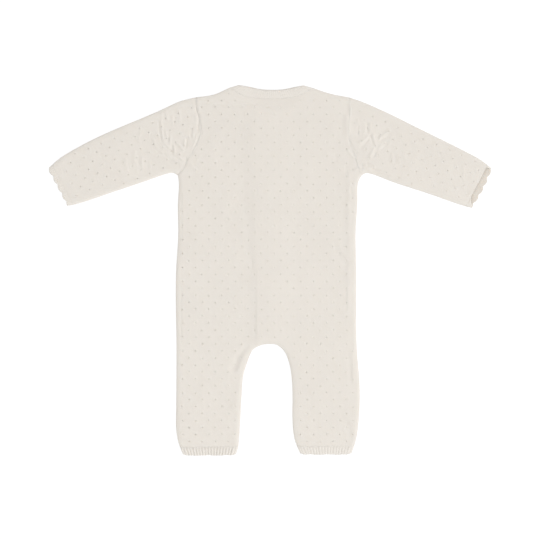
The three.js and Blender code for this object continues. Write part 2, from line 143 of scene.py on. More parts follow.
RIGHT = {
    "sign": 1,
    "shoulder": [(62, 266.5), (88, 258), (115.5, 252.5)],
    "armhole": [(115.5, 252.5), (116.5, 232), (114.5, 207.5), (116.5, 188.5), (123, 169), (133, 139)],
    "sleeve_upper": [(115.5, 252.5), (136, 245.5), (171, 230), (214.5, 208.5), (284, 174), (304.5, 163),
                     (323, 149)],
    "sleeve_lower": [(133, 139), (139, 142.5), (147.5, 141.5), (179.5, 129.5), (236, 111), (261, 102),
                     (279, 96), (293.5, 92)],
    "side": [(133, 139), (128, 128), (127, 98.5), (124.5, 52), (125.5, 8.5), (125.5, -42), (126, -107.5),
             (130, -158.5), (130.5, -190.5), (128.5, -222), (125.5, -242.5), (122, -255), (118, -266)],
    "inseam": [(-3.5, -105.5), (9.5, -106.5), (20.5, -115.5), (28, -133), (32, -157), (33, -183),
               (33, -218), (35.5, -241), (40, -255), (45, -266)],
}
NECK = {
    "back_seam": [(-58, 267), (-42.5, 257), (-21, 251.5), (1.5, 250.5), (24, 251.5), (46, 256.5),
                  (62, 266.5)],
    "back_edge": [(-45.5, 270.5), (-29.5, 267.9), (-13.5, 264.6), (1.5, 263.6), (17, 264), (34.5, 267.2),
                  (49.5, 270)],
    "front_seam": [(-58, 267), (-52, 248), (-36.5, 228.5), (1.5, 216), (40, 228.5), (55.5, 248),
                   (62, 266.5)],
    "front_edge": [(-45.5, 270.5), (-40.5, 252.5), (-28, 237), (1.5, 228.5), (31.5, 237), (44.5, 252.5),
                   (49.5, 270)],
}
for part in (LEFT, RIGHT, NECK):
    for name in [key for key in part if key != "sign"]:
        part[name] = smooth_line(part[name])
CROTCH = np.array([-3.5, -105.5]) * MM
print("sleeve along its top edge, mm:", round(total(LEFT["sleeve_upper"]) / MM))

# %% [markdown]
# Laid flat, a garment is two layers of cloth that roll into each other at the sides. The real edge is not a
# cut: the knit turns over in a small round. So the height of the cloth depends on the distance to the nearest
# rolled edge, as a quarter of an ellipse. One function gives it for every piece, and the pieces then meet.

# %% Rolled edges
WALL = 1.8 * MM
LAYER_GAP = 1.8 * MM
SEAM_GAP = 0.3 * MM
ROLL = 6 * MM
TOP = 2 * WALL + LAYER_GAP
MIDDLE = TOP / 2


def spaced(line, count=60):
    return at(line, np.linspace(0, total(line), count + 1))


def segments(lines):
    starts = np.vstack([line[:-1] for line in lines])
    ends = np.vstack([line[1:] for line in lines])
    return starts, ends


# Each runs with the cloth on its left
ROLLED = segments([
    spaced(RIGHT["side"])[::-1],
    spaced(RIGHT["sleeve_lower"]),
    spaced(RIGHT["sleeve_upper"])[::-1],
    spaced(RIGHT["shoulder"])[::-1],
    np.array([RIGHT["shoulder"][0], NECK["back_edge"][-1]]),
    np.array([NECK["back_edge"][0], LEFT["shoulder"][0]]),
    spaced(LEFT["shoulder"]),
    spaced(LEFT["sleeve_upper"]),
    spaced(LEFT["sleeve_lower"])[::-1],
    spaced(LEFT["side"]),
    spaced(LEFT["inseam"])[::-1],
    spaced(RIGHT["inseam"]),
])


def nearest_on(lines, places, chunk=3000):
    """The distance from each place to the nearest of the lines, and the way towards it."""
    starts, ends = lines
    along = ends - starts
    length = np.linalg.norm(along, axis=1)
    on_line = 0.2 * MM
    distances = []
    ways = []
    for first in range(0, len(places), chunk):
        some = places[first : first + chunk, None]
        share = np.clip(((some - starts) * along).sum(2) / length**2, 0, 1)
        way = starts + share[..., None] * along - some
        distance = np.linalg.norm(way, axis=2)
        best = distance.argmin(1)
        rows = np.arange(len(best))
        found = distance[rows, best]
        towards = way[rows, best] / np.maximum(found, 1e-9)[:, None]
        outward = np.column_stack([along[best, 1], -along[best, 0]]) / length[best][:, None]
        close = found < on_line
        towards[close] = outward[close]
        distances.append(np.where(close, 0, found))
        ways.append(towards)
    return np.concatenate(distances), np.concatenate(ways)


# %% [markdown]
# Creases make laid-out cloth look real. They are placed in a table: a line, a half width and a
# height, which is negative for a trough. Where a crease bends, two rows share an end. The wrinkles crowd
# round the armholes, where a sleeve that was cut to be worn is pressed flat. A smooth noise then makes the
# lines waver and their depth uneven.

# %% The creases, in millimetres
CREASES = [
    # from_x, from_y, to_x, to_y, half_width, height
    (-109, 249, -106.5, 238, 1.4, -0.4),
    (-106.5, 238, -105.5, 230, 1.4, -0.9),
    (-105.5, 230, -102.5, 223.5, 1.3, -1.6),
    (-102.5, 223.5, -102, 216, 1.3, -1.5),
    (-102.5, 216, -104.6, 204, 1.3, -1.2),
    (-100.3, 213, -99.8, 201, 1.5, -0.45),
    (-108, 226, -106.5, 219, 1.8, 0.7),
    (-103, 248, -101, 232, 1.8, 0.5),
    (-103, 196, -108.5, 181, 1.6, -0.5),
    (-108.5, 181, -112, 173, 1.4, -0.55),
    (-106.5, 195, -111, 180, 1.7, 0.5),
    (-121, 165, -122.4, 154, 1.2, -1.0),
    (-122.4, 154, -127, 147, 1.2, -1.1),
    (-127, 147, -133, 141.3, 1.2, -1.05),
    (-113, 153, -107.5, 146.5, 2.0, 0.65),
    (-111, 156, -105, 150, 1.7, -0.45),
    (-105.5, 162, -101, 168, 1.7, 0.45),
    (-113.8, 208, -114.4, 198, 2.2, -0.9),
    (-111.5, 205, -111.5, 195, 1.8, 0.6),
    (-121, 192, -122.3, 180, 1.6, -1.0),
    (-124, 192, -124.5, 181, 1.8, 0.7),
    (-152.5, 232, -148, 221, 1.9, 0.8),
    (-157, 227, -158, 214, 1.9, 0.7),
    (-158, 214, -155.5, 205, 1.9, 0.8),
    (-155.5, 205, -156.8, 196, 1.9, 0.85),
    (-156.8, 196, -152.1, 184, 1.9, 1.05),
    (-152.1, 184, -146.5, 178, 1.9, 1.15),
    (-161, 217, -160, 201, 1.8, -0.7),
    (-160, 201, -156.5, 190, 1.7, -0.8),
    (-155, 188, -150.5, 181, 1.7, -0.9),
    (-150.5, 181, -145, 176, 1.8, -1.25),
    (-145, 176, -140.3, 171.5, 1.8, -1.25),
    (-142, 224, -139.5, 213, 1.8, 0.7),
    (-138, 222, -137.5, 213, 1.6, -0.7),
    (-132, 232, -130, 218, 2.2, 0.6),
    (-151, 203, -148.5, 195, 1.8, 1.05),
    (-148.3, 200, -147.3, 190, 1.6, -0.8),
    (-144.5, 196, -143.5, 186, 1.7, 0.7),
    (-163.5, 174, -157.5, 170.5, 1.8, -0.7),
    (-154.5, 170.5, -148.2, 165.6, 2.0, -1.15),
    (-148.2, 165.6, -142, 161, 2.0, -1.35),
    (-167, 182, -158.5, 174, 2.2, 0.8),
    (-158.5, 174, -147, 167.5, 2.0, 0.9),
    (-173, 198, -173, 190, 1.8, -0.8),
    (-173, 190, -169, 186, 1.7, -0.8),
    (-168, 190, -166, 183, 1.9, 0.7),
    (-141.3, 182, -141, 171, 1.4, -0.8),
    (-139, 181, -139, 170.5, 1.6, 1.05),
    (-137.5, 184, -130.5, 176.5, 1.6, -0.7),
    (-135, 185.5, -125.5, 176, 1.8, 1.05),
    (-135.5, 167, -128.5, 163.5, 1.8, 0.9),
    (-135, 164, -129, 161, 1.6, -0.6),
    (-131, 160, -129, 153, 1.8, 0.6),
    (-187, 205, -190, 190, 2.4, 0.6),
    (-193.5, 157, -193, 145, 2.2, 0.65),
    (-196, 174, -196, 152, 2.3, 0.7),
    (-190.5, 170, -190, 156, 1.9, -0.6),
    (-185, 164, -185, 150, 2.2, 0.65),
    (-180, 171, -173, 171.5, 1.8, 0.6),
    (-174, 159, -173.5, 152, 1.8, 0.6),
    (-210, 164, -207, 146, 2.2, 0.45),
    (-228, 178, -222, 160, 4.5, 0.3),
    (-262, 172, -244, 150, 6.5, 0.3),
    (-282, 140, -262, 122, 6.0, 0.3),
    (115.7, 244, 116, 224, 1.7, 0.65),
    (118.3, 244, 118.3, 226, 1.4, -0.3),
    (111.8, 222, 112, 198, 3.8, 1.45),
    (116, 197, 116.4, 186, 1.7, -0.6),
    (116.4, 186, 121.7, 176, 1.9, -0.7),
    (121.7, 176, 125, 171.5, 1.9, -0.75),
    (114.5, 175, 120.5, 167, 2.0, 0.9),
    (127.6, 209, 127.8, 198.5, 1.7, -0.75),
    (130, 208, 130, 200, 1.7, 0.3),
    (126.5, 219, 126.5, 211, 1.8, 0.3),
    (139, 212, 136.5, 200, 1.9, 0.5),
    (141.5, 213, 141.5, 202.5, 1.7, -0.85),
    (146.5, 213, 145.5, 203, 1.9, 0.4),
    (145.5, 197, 151, 181, 1.8, -0.85),
    (149, 197, 153.5, 186, 1.9, 0.65),
    (130.5, 187.5, 136, 190, 1.7, 0.75),
    (136, 190, 141.5, 194.5, 1.7, 0.65),
    (132.4, 179.5, 143, 190.3, 1.7, -0.75),
    (144, 166, 150.7, 178, 2.0, 0.85),
    (150.7, 178, 153.5, 184, 1.9, 0.75),
    (149, 165, 156, 174, 1.8, -0.55),
    (154.5, 169, 161.5, 182.5, 1.9, 0.65),
    (160, 193.5, 172, 203.5, 1.9, 0.75),
    (157, 198, 157.5, 193, 1.7, -0.65),
    (162, 190, 170, 195, 1.8, -0.5),
    (163, 177, 170, 187, 1.9, -0.5),
    (172, 186, 177, 196, 2.2, 0.45),
    (177, 169, 177.5, 158.5, 2.0, 0.55),
    (186.5, 168, 187, 158, 2.2, 0.5),
    (196, 171, 197, 161, 2.4, 0.35),
    (266.5, 157, 266, 146, 2.2, -0.35),
    (281, 152, 280, 135, 2.2, 0.45),
    (214, 176, 204, 152, 6.0, 0.3),
    (133.5, 155, 133.5, 149, 1.6, -0.65),
    (142, 157, 142, 151.5, 1.6, -0.5),
    (124.4, 147.5, 129.5, 151.8, 1.9, 0.75),
    (129.5, 151.8, 140.2, 152, 1.9, 0.65),
    (140.2, 152, 150.7, 150.5, 1.9, 0.65),
    (150.5, 148.2, 158, 143.6, 1.8, -0.95),
    (158, 143.6, 170, 138.5, 1.8, -0.75),
    (161, 146, 178, 139, 2.2, 0.5),
    (110.6, 151, 110.8, 144, 2.2, -0.45),
    (94, 169, 97, 162, 1.8, -0.45),
    (116.2, 122, 118.3, 112, 1.3, -0.6),
    (114.8, 140, 114.6, 96, 3.6, 0.8),
    (114.6, 96, 115.2, 60, 3.8, 1.2),
    (115.2, 60, 114.8, 22, 3.6, 0.7),
    (114.8, 10, 114.6, -55, 3.6, 0.6),
    (111, -24, 111, -52, 1.3, -0.4),
    (96, 31, 103, 20, 3.6, -0.55),
    (103, 20, 110.5, 11.5, 3.4, -0.75),
    (101, 35, 110, 21, 3.4, 0.6),
    (88, 40, 92, 36, 2.6, 0.25),
    (96, -56, 103, -70, 6.0, -0.4),
    (115.8, -141, 118, -159, 3.0, -0.65),
    (120, -120, 121.5, -160, 2.4, 0.6),
    (111.5, -222, 118.5, -242, 3.6, -0.7),
    (-34, -109, -44.5, -120.5, 3.6, -0.95),
    (-44.5, -120.5, -53, -142, 4.8, -1.35),
    (-37.5, -122, -45, -142, 3.0, 0.6),
    (-47, -134, -45, -142, 1.3, -0.5),
    (-24, -80, -21.5, -90, 1.8, -0.4),
    (-18.5, 118, -18.5, 109, 1.4, -0.35),
    (-26, 16, -25, 5, 1.5, -0.3),
    (-7.5, 16, -7.2, 9, 1.5, -0.35),
    (-128.3, 113, -128.6, 50, 1.3, -0.5),
    (-132.4, 12, -132.6, -8, 1.2, 0.4),
    (-129, -18, -129.2, -104, 1.3, -0.4),
    (-92, 243, -60, 241, 2.0, -0.35),
    (-60, 241, -20, 242, 2.0, -0.35),
    (-44, -172, -52, -196, 5.0, 0.4),
    (60, -170, 74, -205, 7.0, 0.35),
    (-96, -150, -100, -200, 8.0, 0.3),
    (44, 150, 60, 100, 9.0, 0.3),
    (-60, 120, -72, 60, 9.0, 0.3),
    (-70, 205, -86, 170, 7.0, 0.35),
    (92, 205, 84, 172, 7.0, 0.35),
]
NARROW = 3.2
CREASE_REACH = 2.2
CREASE_WANDER = 1.5 * MM
CREASE_UNEVEN = 0.6
PLACKET_X = -3.5 * MM
PLACKET_HALF = 14.5 * MM
PLACKET_LIFT = 1.7 * MM
PLACKET_RIDGE = 1.55 * MM
PLACKET_FOOT = -98 * MM
PRESSED_WIDTH = 3.4 * MM
PRESSED_TOP = 30 * MM
PRESSED_SHARE = 0.5
NECK_DIP = {"x": 1.5 * MM, "y": 262 * MM, "radius_x": 42 * MM, "radius_y": 32 * MM, "depth": 1.4 * MM}


def eased(start, end, values):
    share = np.clip((values - start) / (end - start), 0, 1)
    return share * share * (3 - 2 * share)


def crease_distance(places, from_x, from_y, to_x, to_y):
    start = np.array([from_x, from_y]) * MM
    along = np.array([to_x, to_y]) * MM - start
    share = ((places - start) @ along) / (along @ along)
    nearest = start + np.clip(share, 0, 1)[:, None] * along
    return np.linalg.norm(places - nearest, axis=1)


def wavered(places):
    """The places moved a little by a smooth noise, so that straight lines waver, and a share for depth."""
    layers = (9.3, 23.7, 41.4)
    found = np.array([[noise.noise((x * 85, y * 85, layer)) for layer in layers] for x, y in places])
    return places + CREASE_WANDER * found[:, :2], 1 + CREASE_UNEVEN * found[:, 2]


def crease_relief(places):
    moved, depth = wavered(places)
    ridges = np.zeros(len(places))
    troughs = np.zeros(len(places))
    for *line, half_width, height in CREASES:
        distance = crease_distance(moved, *line)
        form = height * MM * np.exp(-((distance / (half_width * MM)) ** 2))
        ridges = np.maximum(ridges, form)
        troughs = np.minimum(troughs, form)
    return (ridges + troughs) * depth


def on_narrow_crease(places):
    """Which places lie on a crease, or the band's pressed edge, that a panel's wide grid would blur."""
    off_edge = np.abs(places[:, 0] - PLACKET_X + PLACKET_HALF + PRESSED_WIDTH / 2)
    found = (off_edge < PRESSED_WIDTH) & (places[:, 1] < PRESSED_TOP) & (places[:, 1] > PLACKET_FOOT)
    moved, _ = wavered(places)
    for *line, half_width, _ in CREASES:
        if half_width < NARROW:
            found |= crease_distance(moved, *line) < CREASE_REACH * half_width * MM
    return found


def top_level(places):
    off_middle = places[:, 0] - PLACKET_X
    slope_width = 14 * MM + 12 * MM * eased(0, 200 * MM, places[:, 1])
    to_left = 1 - eased(PLACKET_HALF - 1 * MM, PLACKET_HALF + slope_width, -off_middle)
    to_right = 1 - eased(PLACKET_HALF - 8 * MM, PLACKET_HALF + 34 * MM, off_middle)
    pressed = 1 - eased(PLACKET_HALF, PLACKET_HALF + PRESSED_WIDTH, -off_middle)
    share = PRESSED_SHARE * (1 - eased(-75 * MM, PRESSED_TOP, places[:, 1]))
    across = (to_left + (pressed - to_left) * share) * to_right
    along = eased(-112 * MM, -94 * MM, places[:, 1]) * (1 - eased(229 * MM, 252 * MM, places[:, 1]))
    dip_x = (places[:, 0] - NECK_DIP["x"]) / NECK_DIP["radius_x"]
    dip_y = (places[:, 1] - NECK_DIP["y"]) / NECK_DIP["radius_y"]
    dip = NECK_DIP["depth"] * (1 - eased(0.6, 1.1, np.hypot(dip_x, dip_y)))
    return TOP + PLACKET_RIDGE * across * along + crease_relief(places) - dip


def bottom_level(places):
    off_middle = np.abs(places[:, 0] - PLACKET_X)
    across = 1 - eased(PLACKET_HALF + 1 * MM, PLACKET_HALF + 13 * MM, off_middle)
    return PLACKET_LIFT * across * eased(-108 * MM, -90 * MM, places[:, 1])


# %% [markdown]
# A seam pulls the knit down into a fine groove. The distance to the nearest seam line gives it.

# %% Seams and the cloth's surface
EDGING_DEPTH = 9 * MM
LEG_CUFF_HEIGHT = 13.5 * MM


def sleeve_end(side):
    upper = at(side["sleeve_upper"], [total(side["sleeve_upper"]) - EDGING_DEPTH])
    lower = at(side["sleeve_lower"], [total(side["sleeve_lower"]) - EDGING_DEPTH])
    return np.vstack([upper, lower])


def leg_end(side):
    outer = at(side["side"], [total(side["side"]) - LEG_CUFF_HEIGHT])
    inner = at(side["inseam"], [total(side["inseam"]) - LEG_CUFF_HEIGHT])
    return np.vstack([outer, inner])


SEWN = segments([spaced(LEFT["armhole"]), spaced(RIGHT["armhole"]), spaced(NECK["back_seam"])])
GROOVE_DEPTH = 0.05 * MM
GROOVE_HALF_WIDTH = 1.5 * MM
JOINS = segments([
    spaced(LEFT["armhole"]),
    spaced(RIGHT["armhole"]),
    spaced(NECK["back_seam"]),
    spaced(NECK["front_seam"]),
    sleeve_end(LEFT),
    sleeve_end(RIGHT),
    leg_end(LEFT),
    leg_end(RIGHT),
])


def surface(places, layer, split=0.0, raised=0.0, thickness=WALL):
    """The outer and inner points of the cloth over places in plan: layer 1 is on top, -1 underneath."""
    level = top_level if layer > 0 else bottom_level
    edge_distance, way = nearest_on(ROLLED, places)
    middle = MIDDLE + layer * split
    depth = np.maximum(1 - edge_distance / ROLL, 0)
    rise = np.sqrt(1 - depth**2)
    plain = level(places)
    if layer > 0:
        seam_distance, _ = nearest_on(SEWN, places)
        plain = plain - GROOVE_DEPTH * np.exp(-((seam_distance / GROOVE_HALF_WIDTH) ** 2))
    height = middle + (plain - middle) * rise
    step = 0.4 * MM
    steep = (plain - middle) * depth / (ROLL * np.maximum(rise, 1e-4))
    slope_x = rise * (level(places + [step, 0]) - level(places - [step, 0])) / (2 * step) - steep * way[:, 0]
    slope_y = rise * (level(places + [0, step]) - level(places - [0, step])) / (2 * step) - steep * way[:, 1]
    normal = np.column_stack([-layer * slope_x, -layer * slope_y, np.full(len(places), float(layer))])
    on_edge = edge_distance == 0
    normal[on_edge] = np.column_stack([way, np.zeros(len(way))])[on_edge]
    normal /= np.linalg.norm(normal, axis=1)[:, None]
    outer = np.column_stack([places, height])
    inner = outer - normal * np.broadcast_to(thickness, len(places))[:, None]
    lift = np.broadcast_to(raised, len(places)) * rise
    return outer + normal * lift[:, None], inner


# %% [markdown]
# Cloth has two faces and an edge, so each piece is a thin wall: the outer points, the inner points, and a
# rim wherever a face has no neighbour. That gives a closed mesh. Sleeves and cuffs are tubes: a top and a
# bottom patch share their points along the rolled edges, and merging equal points joins them.


# %% Turn patches of cloth into one closed mesh
class Cloth:
    def __init__(self, split=0.0):
        self.split = split
        self.outer = []
        self.inner = []
        self.knit = []
        self.faces = []
        self.count = 0

    def add(self, places, faces, layer, knit, raised=0.0, lift=0.0, thickness=WALL):
        outer, inner = surface(places, layer, self.split, raised, thickness)
        outer[:, 2] += lift
        inner[:, 2] += lift
        for face in faces:
            a, b, c = (places[index] for index in face[:3])
            turn = (b[0] - a[0]) * (c[1] - a[1]) - (b[1] - a[1]) * (c[0] - a[0])
            ordered = face if turn * layer > 0 else face[::-1]
            self.faces.append([index + self.count for index in ordered])
        self.outer.append(outer)
        self.inner.append(inner)
        self.knit.append(knit)
        self.count += len(places)

    def make(self, name):
        outer = np.vstack(self.outer)
        inner = np.vstack(self.inner)
        keys = np.round(outer / (0.002 * MM)).astype(np.int64)
        _, kept, same = np.unique(keys, axis=0, return_index=True, return_inverse=True)
        same = same.reshape(-1)
        outer, inner, knit = outer[kept], inner[kept], np.vstack(self.knit)[kept]
        count = len(outer)
        faces = []
        for face in self.faces:
            merged = [int(same[index]) for index in face]
            slim = [index for i, index in enumerate(merged) if index != merged[i - 1]]
            if len(set(slim)) > 2:
                faces.append(slim)
        directed = {(a, b) for face in faces for a, b in zip(face, face[1:] + face[:1])}
        inside = [[index + count for index in face[::-1]] for face in faces]
        rims = [[b, a, a + count, b + count] for a, b in directed if (b, a) not in directed]
        rims.sort()
        mesh = bpy.data.meshes.new(name)
        mesh.from_pydata(np.vstack([outer, inner]).tolist(), [], faces + inside + rims)
        mesh.polygons.foreach_set("use_smooth", [True] * len(mesh.polygons))
        # The inside faces take the second slot: the reverse knit, whose darker colour is painted shade.
        material_index = [0] * len(faces) + [1] * len(inside) + [0] * len(rims)
        mesh.polygons.foreach_set("material_index", material_index)
        near_join = nearest_on(JOINS, outer[:, :2])[0] < 0.9 * MM
        rim_pairs = {frozenset(rim[:2]) for rim in rims if near_join[rim[0]] and near_join[rim[1]]}
        for edge in mesh.edges:
            if frozenset(edge.vertices) in rim_pairs:
                edge.use_edge_sharp = True
        place = mesh.attributes.new("knit_place", "FLOAT_VECTOR", "POINT")
        both = np.vstack([knit, knit])
        place.data.foreach_set("vector", np.column_stack([both, np.zeros(len(both))]).ravel())
        piece = bpy.data.objects.new(name, mesh)
        bpy.context.scene.collection.objects.link(piece)
        print(name, "faces:", len(mesh.polygons))
        return piece


def grid_faces(rows, columns):
    return [
        [row * columns + column, row * columns + column + 1, (row + 1) * columns + column + 1,
         (row + 1) * columns + column]
        for row in range(rows - 1)
        for column in range(columns - 1)
    ]


# %% [markdown]
# Pointelle knit has rows of small eyelets, made by moving a stitch aside. They could be dark dots in the
# material, but light falls through real holes and shadows the layer below, so they are cut. Each eyelet is
# an open ring of eight points in a Delaunay mesh of the panel. It lies in a small dip where the cloth is
# thinner, and a second ring round it stands up a little as the bunched yarn does. The rows are staggered by
# half a step, and no two eyelets are quite alike in size.

# %% Eyelets and the mesh of a panel
EYELET_RADIUS = 0.39 * MM
EYELET_RIM_RADIUS = 1.5 * MM
EYELET_RIM_HEIGHT = 0.42 * MM
EYELET_DIP = 0.5 * MM
EYELET_THINNING = 0.55
STRETCHED = 0.35
EYELET_SIDES = 8
EYELET_WANDER = 0.35 * MM
EYELET_PITCH = 19 * MM
EYELET_ROW = 10.1 * MM
EYELET_MARGIN = 6 * MM
UNDER_SHIFT = np.array([7.1, 3.9]) * MM
GRID = 3 * MM
FINE_GRID = 1.25 * MM


def inside(places, loop):
    ends = np.roll(loop, -1, axis=0)
    crosses = (loop[:, 1] > places[:, None, 1]) != (ends[:, 1] > places[:, None, 1])
    height = np.where(ends[:, 1] == loop[:, 1], 1e-12, ends[:, 1] - loop[:, 1])
    share = (places[:, None, 1] - loop[:, 1]) / height
    right_of = places[:, None, 0] < loop[:, 0] + share * (ends[:, 0] - loop[:, 0])
    return (crosses & right_of).sum(1) % 2 == 1


def tree_of(points):
    tree = kdtree.KDTree(max(len(points), 1))
    for index, point in enumerate(points):
        tree.insert((point[0], point[1], 0), index)
    tree.balance()
    return tree


def tree_distances(tree, places):
    found = [tree.find((x, y, 0))[2] for x, y in places]
    return np.array([math.inf if distance is None else distance for distance in found])


def knit_axes(angle):
    along = np.array([math.cos(angle), math.sin(angle)])
    across = np.array([along[1], -along[0]])
    return across, along


def lattice(loop, angle, across_step, along_step, origin):
    """Staggered places over a loop, in rows at right angles to the knit's own direction."""
    across, along = knit_axes(angle)
    u, v = (loop - origin) @ across, (loop - origin) @ along
    rows = range(math.floor(v.min() / along_step), math.ceil(v.max() / along_step) + 1)
    columns = range(math.floor(u.min() / across_step) - 1, math.ceil(u.max() / across_step) + 1)
    found = [
        origin + (column + 0.5 * (row % 2)) * across_step * across + row * along_step * along
        for row in rows
        for column in columns
    ]
    return np.array(found)


def ring(centre, radius, turn=0.0):
    angles = turn + 2 * math.pi * np.arange(EYELET_SIDES) / EYELET_SIDES
    return centre + radius * np.column_stack([np.cos(angles), np.sin(angles)])


def openness(places):
    """How wide eyelets stand open: the left side of the romper was laid out a little more stretched."""
    return 1 + STRETCHED * (1 - eased(-115 * MM, -20 * MM, places[:, 0]))


def panel_mesh(loop, rolled, angle, origin, thickness, creased=True):
    """Places and triangles that fill a loop, finer at its edge and creases, with the eyelets left open."""
    edge = segments([np.vstack([loop, loop[:1]])])
    eyelets = lattice(loop, angle, EYELET_PITCH, EYELET_ROW, origin)
    eyelets = eyelets[inside(eyelets, loop)]
    eyelets = eyelets[nearest_on(edge, eyelets)[0] > EYELET_MARGIN]
    chance = np.random.default_rng(len(eyelets))
    eyelets = eyelets + chance.normal(0, EYELET_WANDER, eyelets.shape)
    eyelet_tree = tree_of(eyelets)
    tangent = np.roll(loop, -1, axis=0) - np.roll(loop, 1, axis=0)
    normal = np.column_stack([tangent[:, 1], -tangent[:, 0]])
    normal /= np.linalg.norm(normal, axis=1)[:, None]
    if inside(loop[:1] + normal[:1] * 0.5 * MM, loop)[0]:
        normal = -normal
    offsets = [(distance * MM, True) for distance in (0.5, 1.4, 2.7, 4.4)]
    offsets += [(distance * MM, False) for distance in (0.8, 1.9)]
    fill = []
    wanted = []
    for distance, is_rolled in offsets:
        chosen = rolled == is_rolled
        fill.append(loop[chosen] - normal[chosen] * distance)
        wanted.append(np.full(chosen.sum(), distance))
    near = np.vstack(fill)
    wanted = np.concatenate(wanted)
    near = near[inside(near, loop) & (nearest_on(edge, near)[0] > 0.85 * wanted)]
    far = lattice(loop, angle, GRID, GRID * 0.87, origin + [0.4 * MM, 0.9 * MM])
    far = far[inside(far, loop)]
    distance, _ = nearest_on(edge, far)
    rolled_tree = tree_of(loop[rolled])
    far = far[(distance > 2.9 * MM) & (tree_distances(rolled_tree, far) > 5.4 * MM)]
    fill = np.vstack([near, far])
    if creased:
        fine = lattice(loop, angle, FINE_GRID, FINE_GRID * 0.87, origin)
        fine = fine[on_narrow_crease(fine)]
        fine = fine[inside(fine, loop)]
        fine = fine[nearest_on(edge, fine)[0] > 1.2 * MM]
        fine = fine[tree_distances(tree_of(near), fine) > 0.7 * FINE_GRID]
        fill = np.vstack([near, far[~on_narrow_crease(far)], fine])
    fill = fill[tree_distances(eyelet_tree, fill) > EYELET_RIM_RADIUS + 0.9 * MM]
    points = [tuple(point) for point in loop]
    edges = [(i, (i + 1) % len(loop)) for i in range(len(loop))]
    sizes = openness(eyelets) * chance.uniform(0.5, 1.2, len(eyelets))
    for centre, size in zip(eyelets, sizes):
        first = len(points)
        points += [tuple(point) for point in ring(centre, EYELET_RADIUS * size)]
        edges += [(first + i, first + (i + 1) % EYELET_SIDES) for i in range(EYELET_SIDES)]
        points += [tuple(point) for point in ring(centre, EYELET_RIM_RADIUS, math.pi / EYELET_SIDES)]
    points += [tuple(point) for point in fill]
    made = delaunay_2d_cdt([Vector(point) for point in points], edges, [], 1, 1e-7)
    places = np.array([tuple(point) for point in made[0]])
    triangles = np.array([list(face) for face in made[2]])
    off_eyelet = tree_distances(eyelet_tree, places)
    open_face = off_eyelet[triangles].max(1) < 0.85 * EYELET_RIM_RADIUS
    rim = EYELET_RIM_HEIGHT * np.exp(-(((off_eyelet - EYELET_RIM_RADIUS) / (0.7 * MM)) ** 2))
    rim = rim * openness(places)
    dip = np.exp(-((off_eyelet / (0.8 * MM)) ** 2))
    uneven = softness(places) * eased(0, 9 * MM, nearest_on(edge, places)[0])
    relief = rim - EYELET_DIP * dip + uneven
    wall = thickness * (1 - EYELET_THINNING * dip)
    return places, triangles[~open_face].tolist(), relief, wall, len(eyelets)


def knit_of(places, angle, origin):
    across, along = knit_axes(angle)
    return np.column_stack([(places - origin) @ across, (places - origin) @ along])


def softness(places, height=0.22 * MM):
    """The knit's own slight unevenness, as a smooth noise in two sizes."""
    wide = [noise.noise((x * 38, y * 38, 1.0)) for x, y in places]
    fine = [noise.noise((x * 120, y * 120, 5.0)) for x, y in places]
    return height * (np.array(wide) + 0.4 * np.array(fine))


def loop_of(*parts):
    """Joins stretches into one closed loop, and says which of its points lie on a rolled edge."""
    points = np.vstack([line[:-1] for line, _ in parts])
    rolled = np.concatenate([np.full(len(line) - 1, is_rolled) for line, is_rolled in parts])
    return points, rolled


# %% [markdown]
# The back is one panel from the neck seam to both leg cuffs. Its outline is read off the seam lines in turn,
# down one side, round the inseams and up the other side.

# %% The back
THIN_WALL = 1.3 * MM
ORIGIN = CROTCH
UPRIGHT = math.pi / 2


def side_down(side):
    return stretch(side["side"], 0, total(side["side"]) - LEG_CUFF_HEIGHT)


def inseam_down(side, start=0.0):
    return stretch(side["inseam"], start, total(side["inseam"]) - LEG_CUFF_HEIGHT)


def straight(start, end, step=2.5 * MM):
    return stretch(np.array([start, end]), 0, np.linalg.norm(end - start), step)


def whole(line):
    return stretch(line, 0, total(line))


back_loop, back_rolled = loop_of(
    (whole(LEFT["shoulder"]), True),
    (whole(LEFT["armhole"]), False),
    (side_down(LEFT), True),
    (straight(*leg_end(LEFT)), False),
    (inseam_down(LEFT)[::-1], True),
    (inseam_down(RIGHT), True),
    (straight(*leg_end(RIGHT)[::-1]), False),
    (side_down(RIGHT)[::-1], True),
    (whole(RIGHT["armhole"])[::-1], False),
    (whole(RIGHT["shoulder"])[::-1], True),
    (whole(NECK["back_seam"])[::-1], False),
)
places, faces, relief, wall, count = panel_mesh(back_loop, back_rolled, UPRIGHT, ORIGIN, THIN_WALL)
cloth = Cloth(SEAM_GAP / 2)
cloth.add(places, faces, 1, knit_of(places, UPRIGHT, ORIGIN), relief, thickness=wall)
back = cloth.make("back_knit")

# %% [markdown]
# The two front panels lie underneath, each from its side seam to the button band. They are made the same
# way. Their underside is what the romper rests on, so it stays flat and plain.

# %% The front panels
FRONT_WALL = 2.2 * MM


def cut_at_x(line, x):
    """How far along a line it first passes x."""
    dense = np.linspace(0, total(line), 1500)
    beyond = (at(line, dense)[:, 0] - x) * (line[0, 0] - x) <= 0
    return dense[np.argmax(beyond)]


def front_loop(side):
    edge_x = PLACKET_X + side["sign"] * (PLACKET_HALF + SEAM_GAP)
    seam = NECK["front_seam"] if side["sign"] < 0 else NECK["front_seam"][::-1]
    neck_stop = cut_at_x(seam, edge_x)
    inseam_start = cut_at_x(side["inseam"], edge_x)
    top = at(seam, [neck_stop])[0]
    bottom = at(side["inseam"], [inseam_start])[0]
    return loop_of(
        (whole(side["shoulder"]), True),
        (whole(side["armhole"]), False),
        (side_down(side), True),
        (straight(*leg_end(side)), False),
        (inseam_down(side, inseam_start)[::-1], True),
        (straight(bottom, top), False),
        (stretch(seam, neck_stop, 0), False),
    )


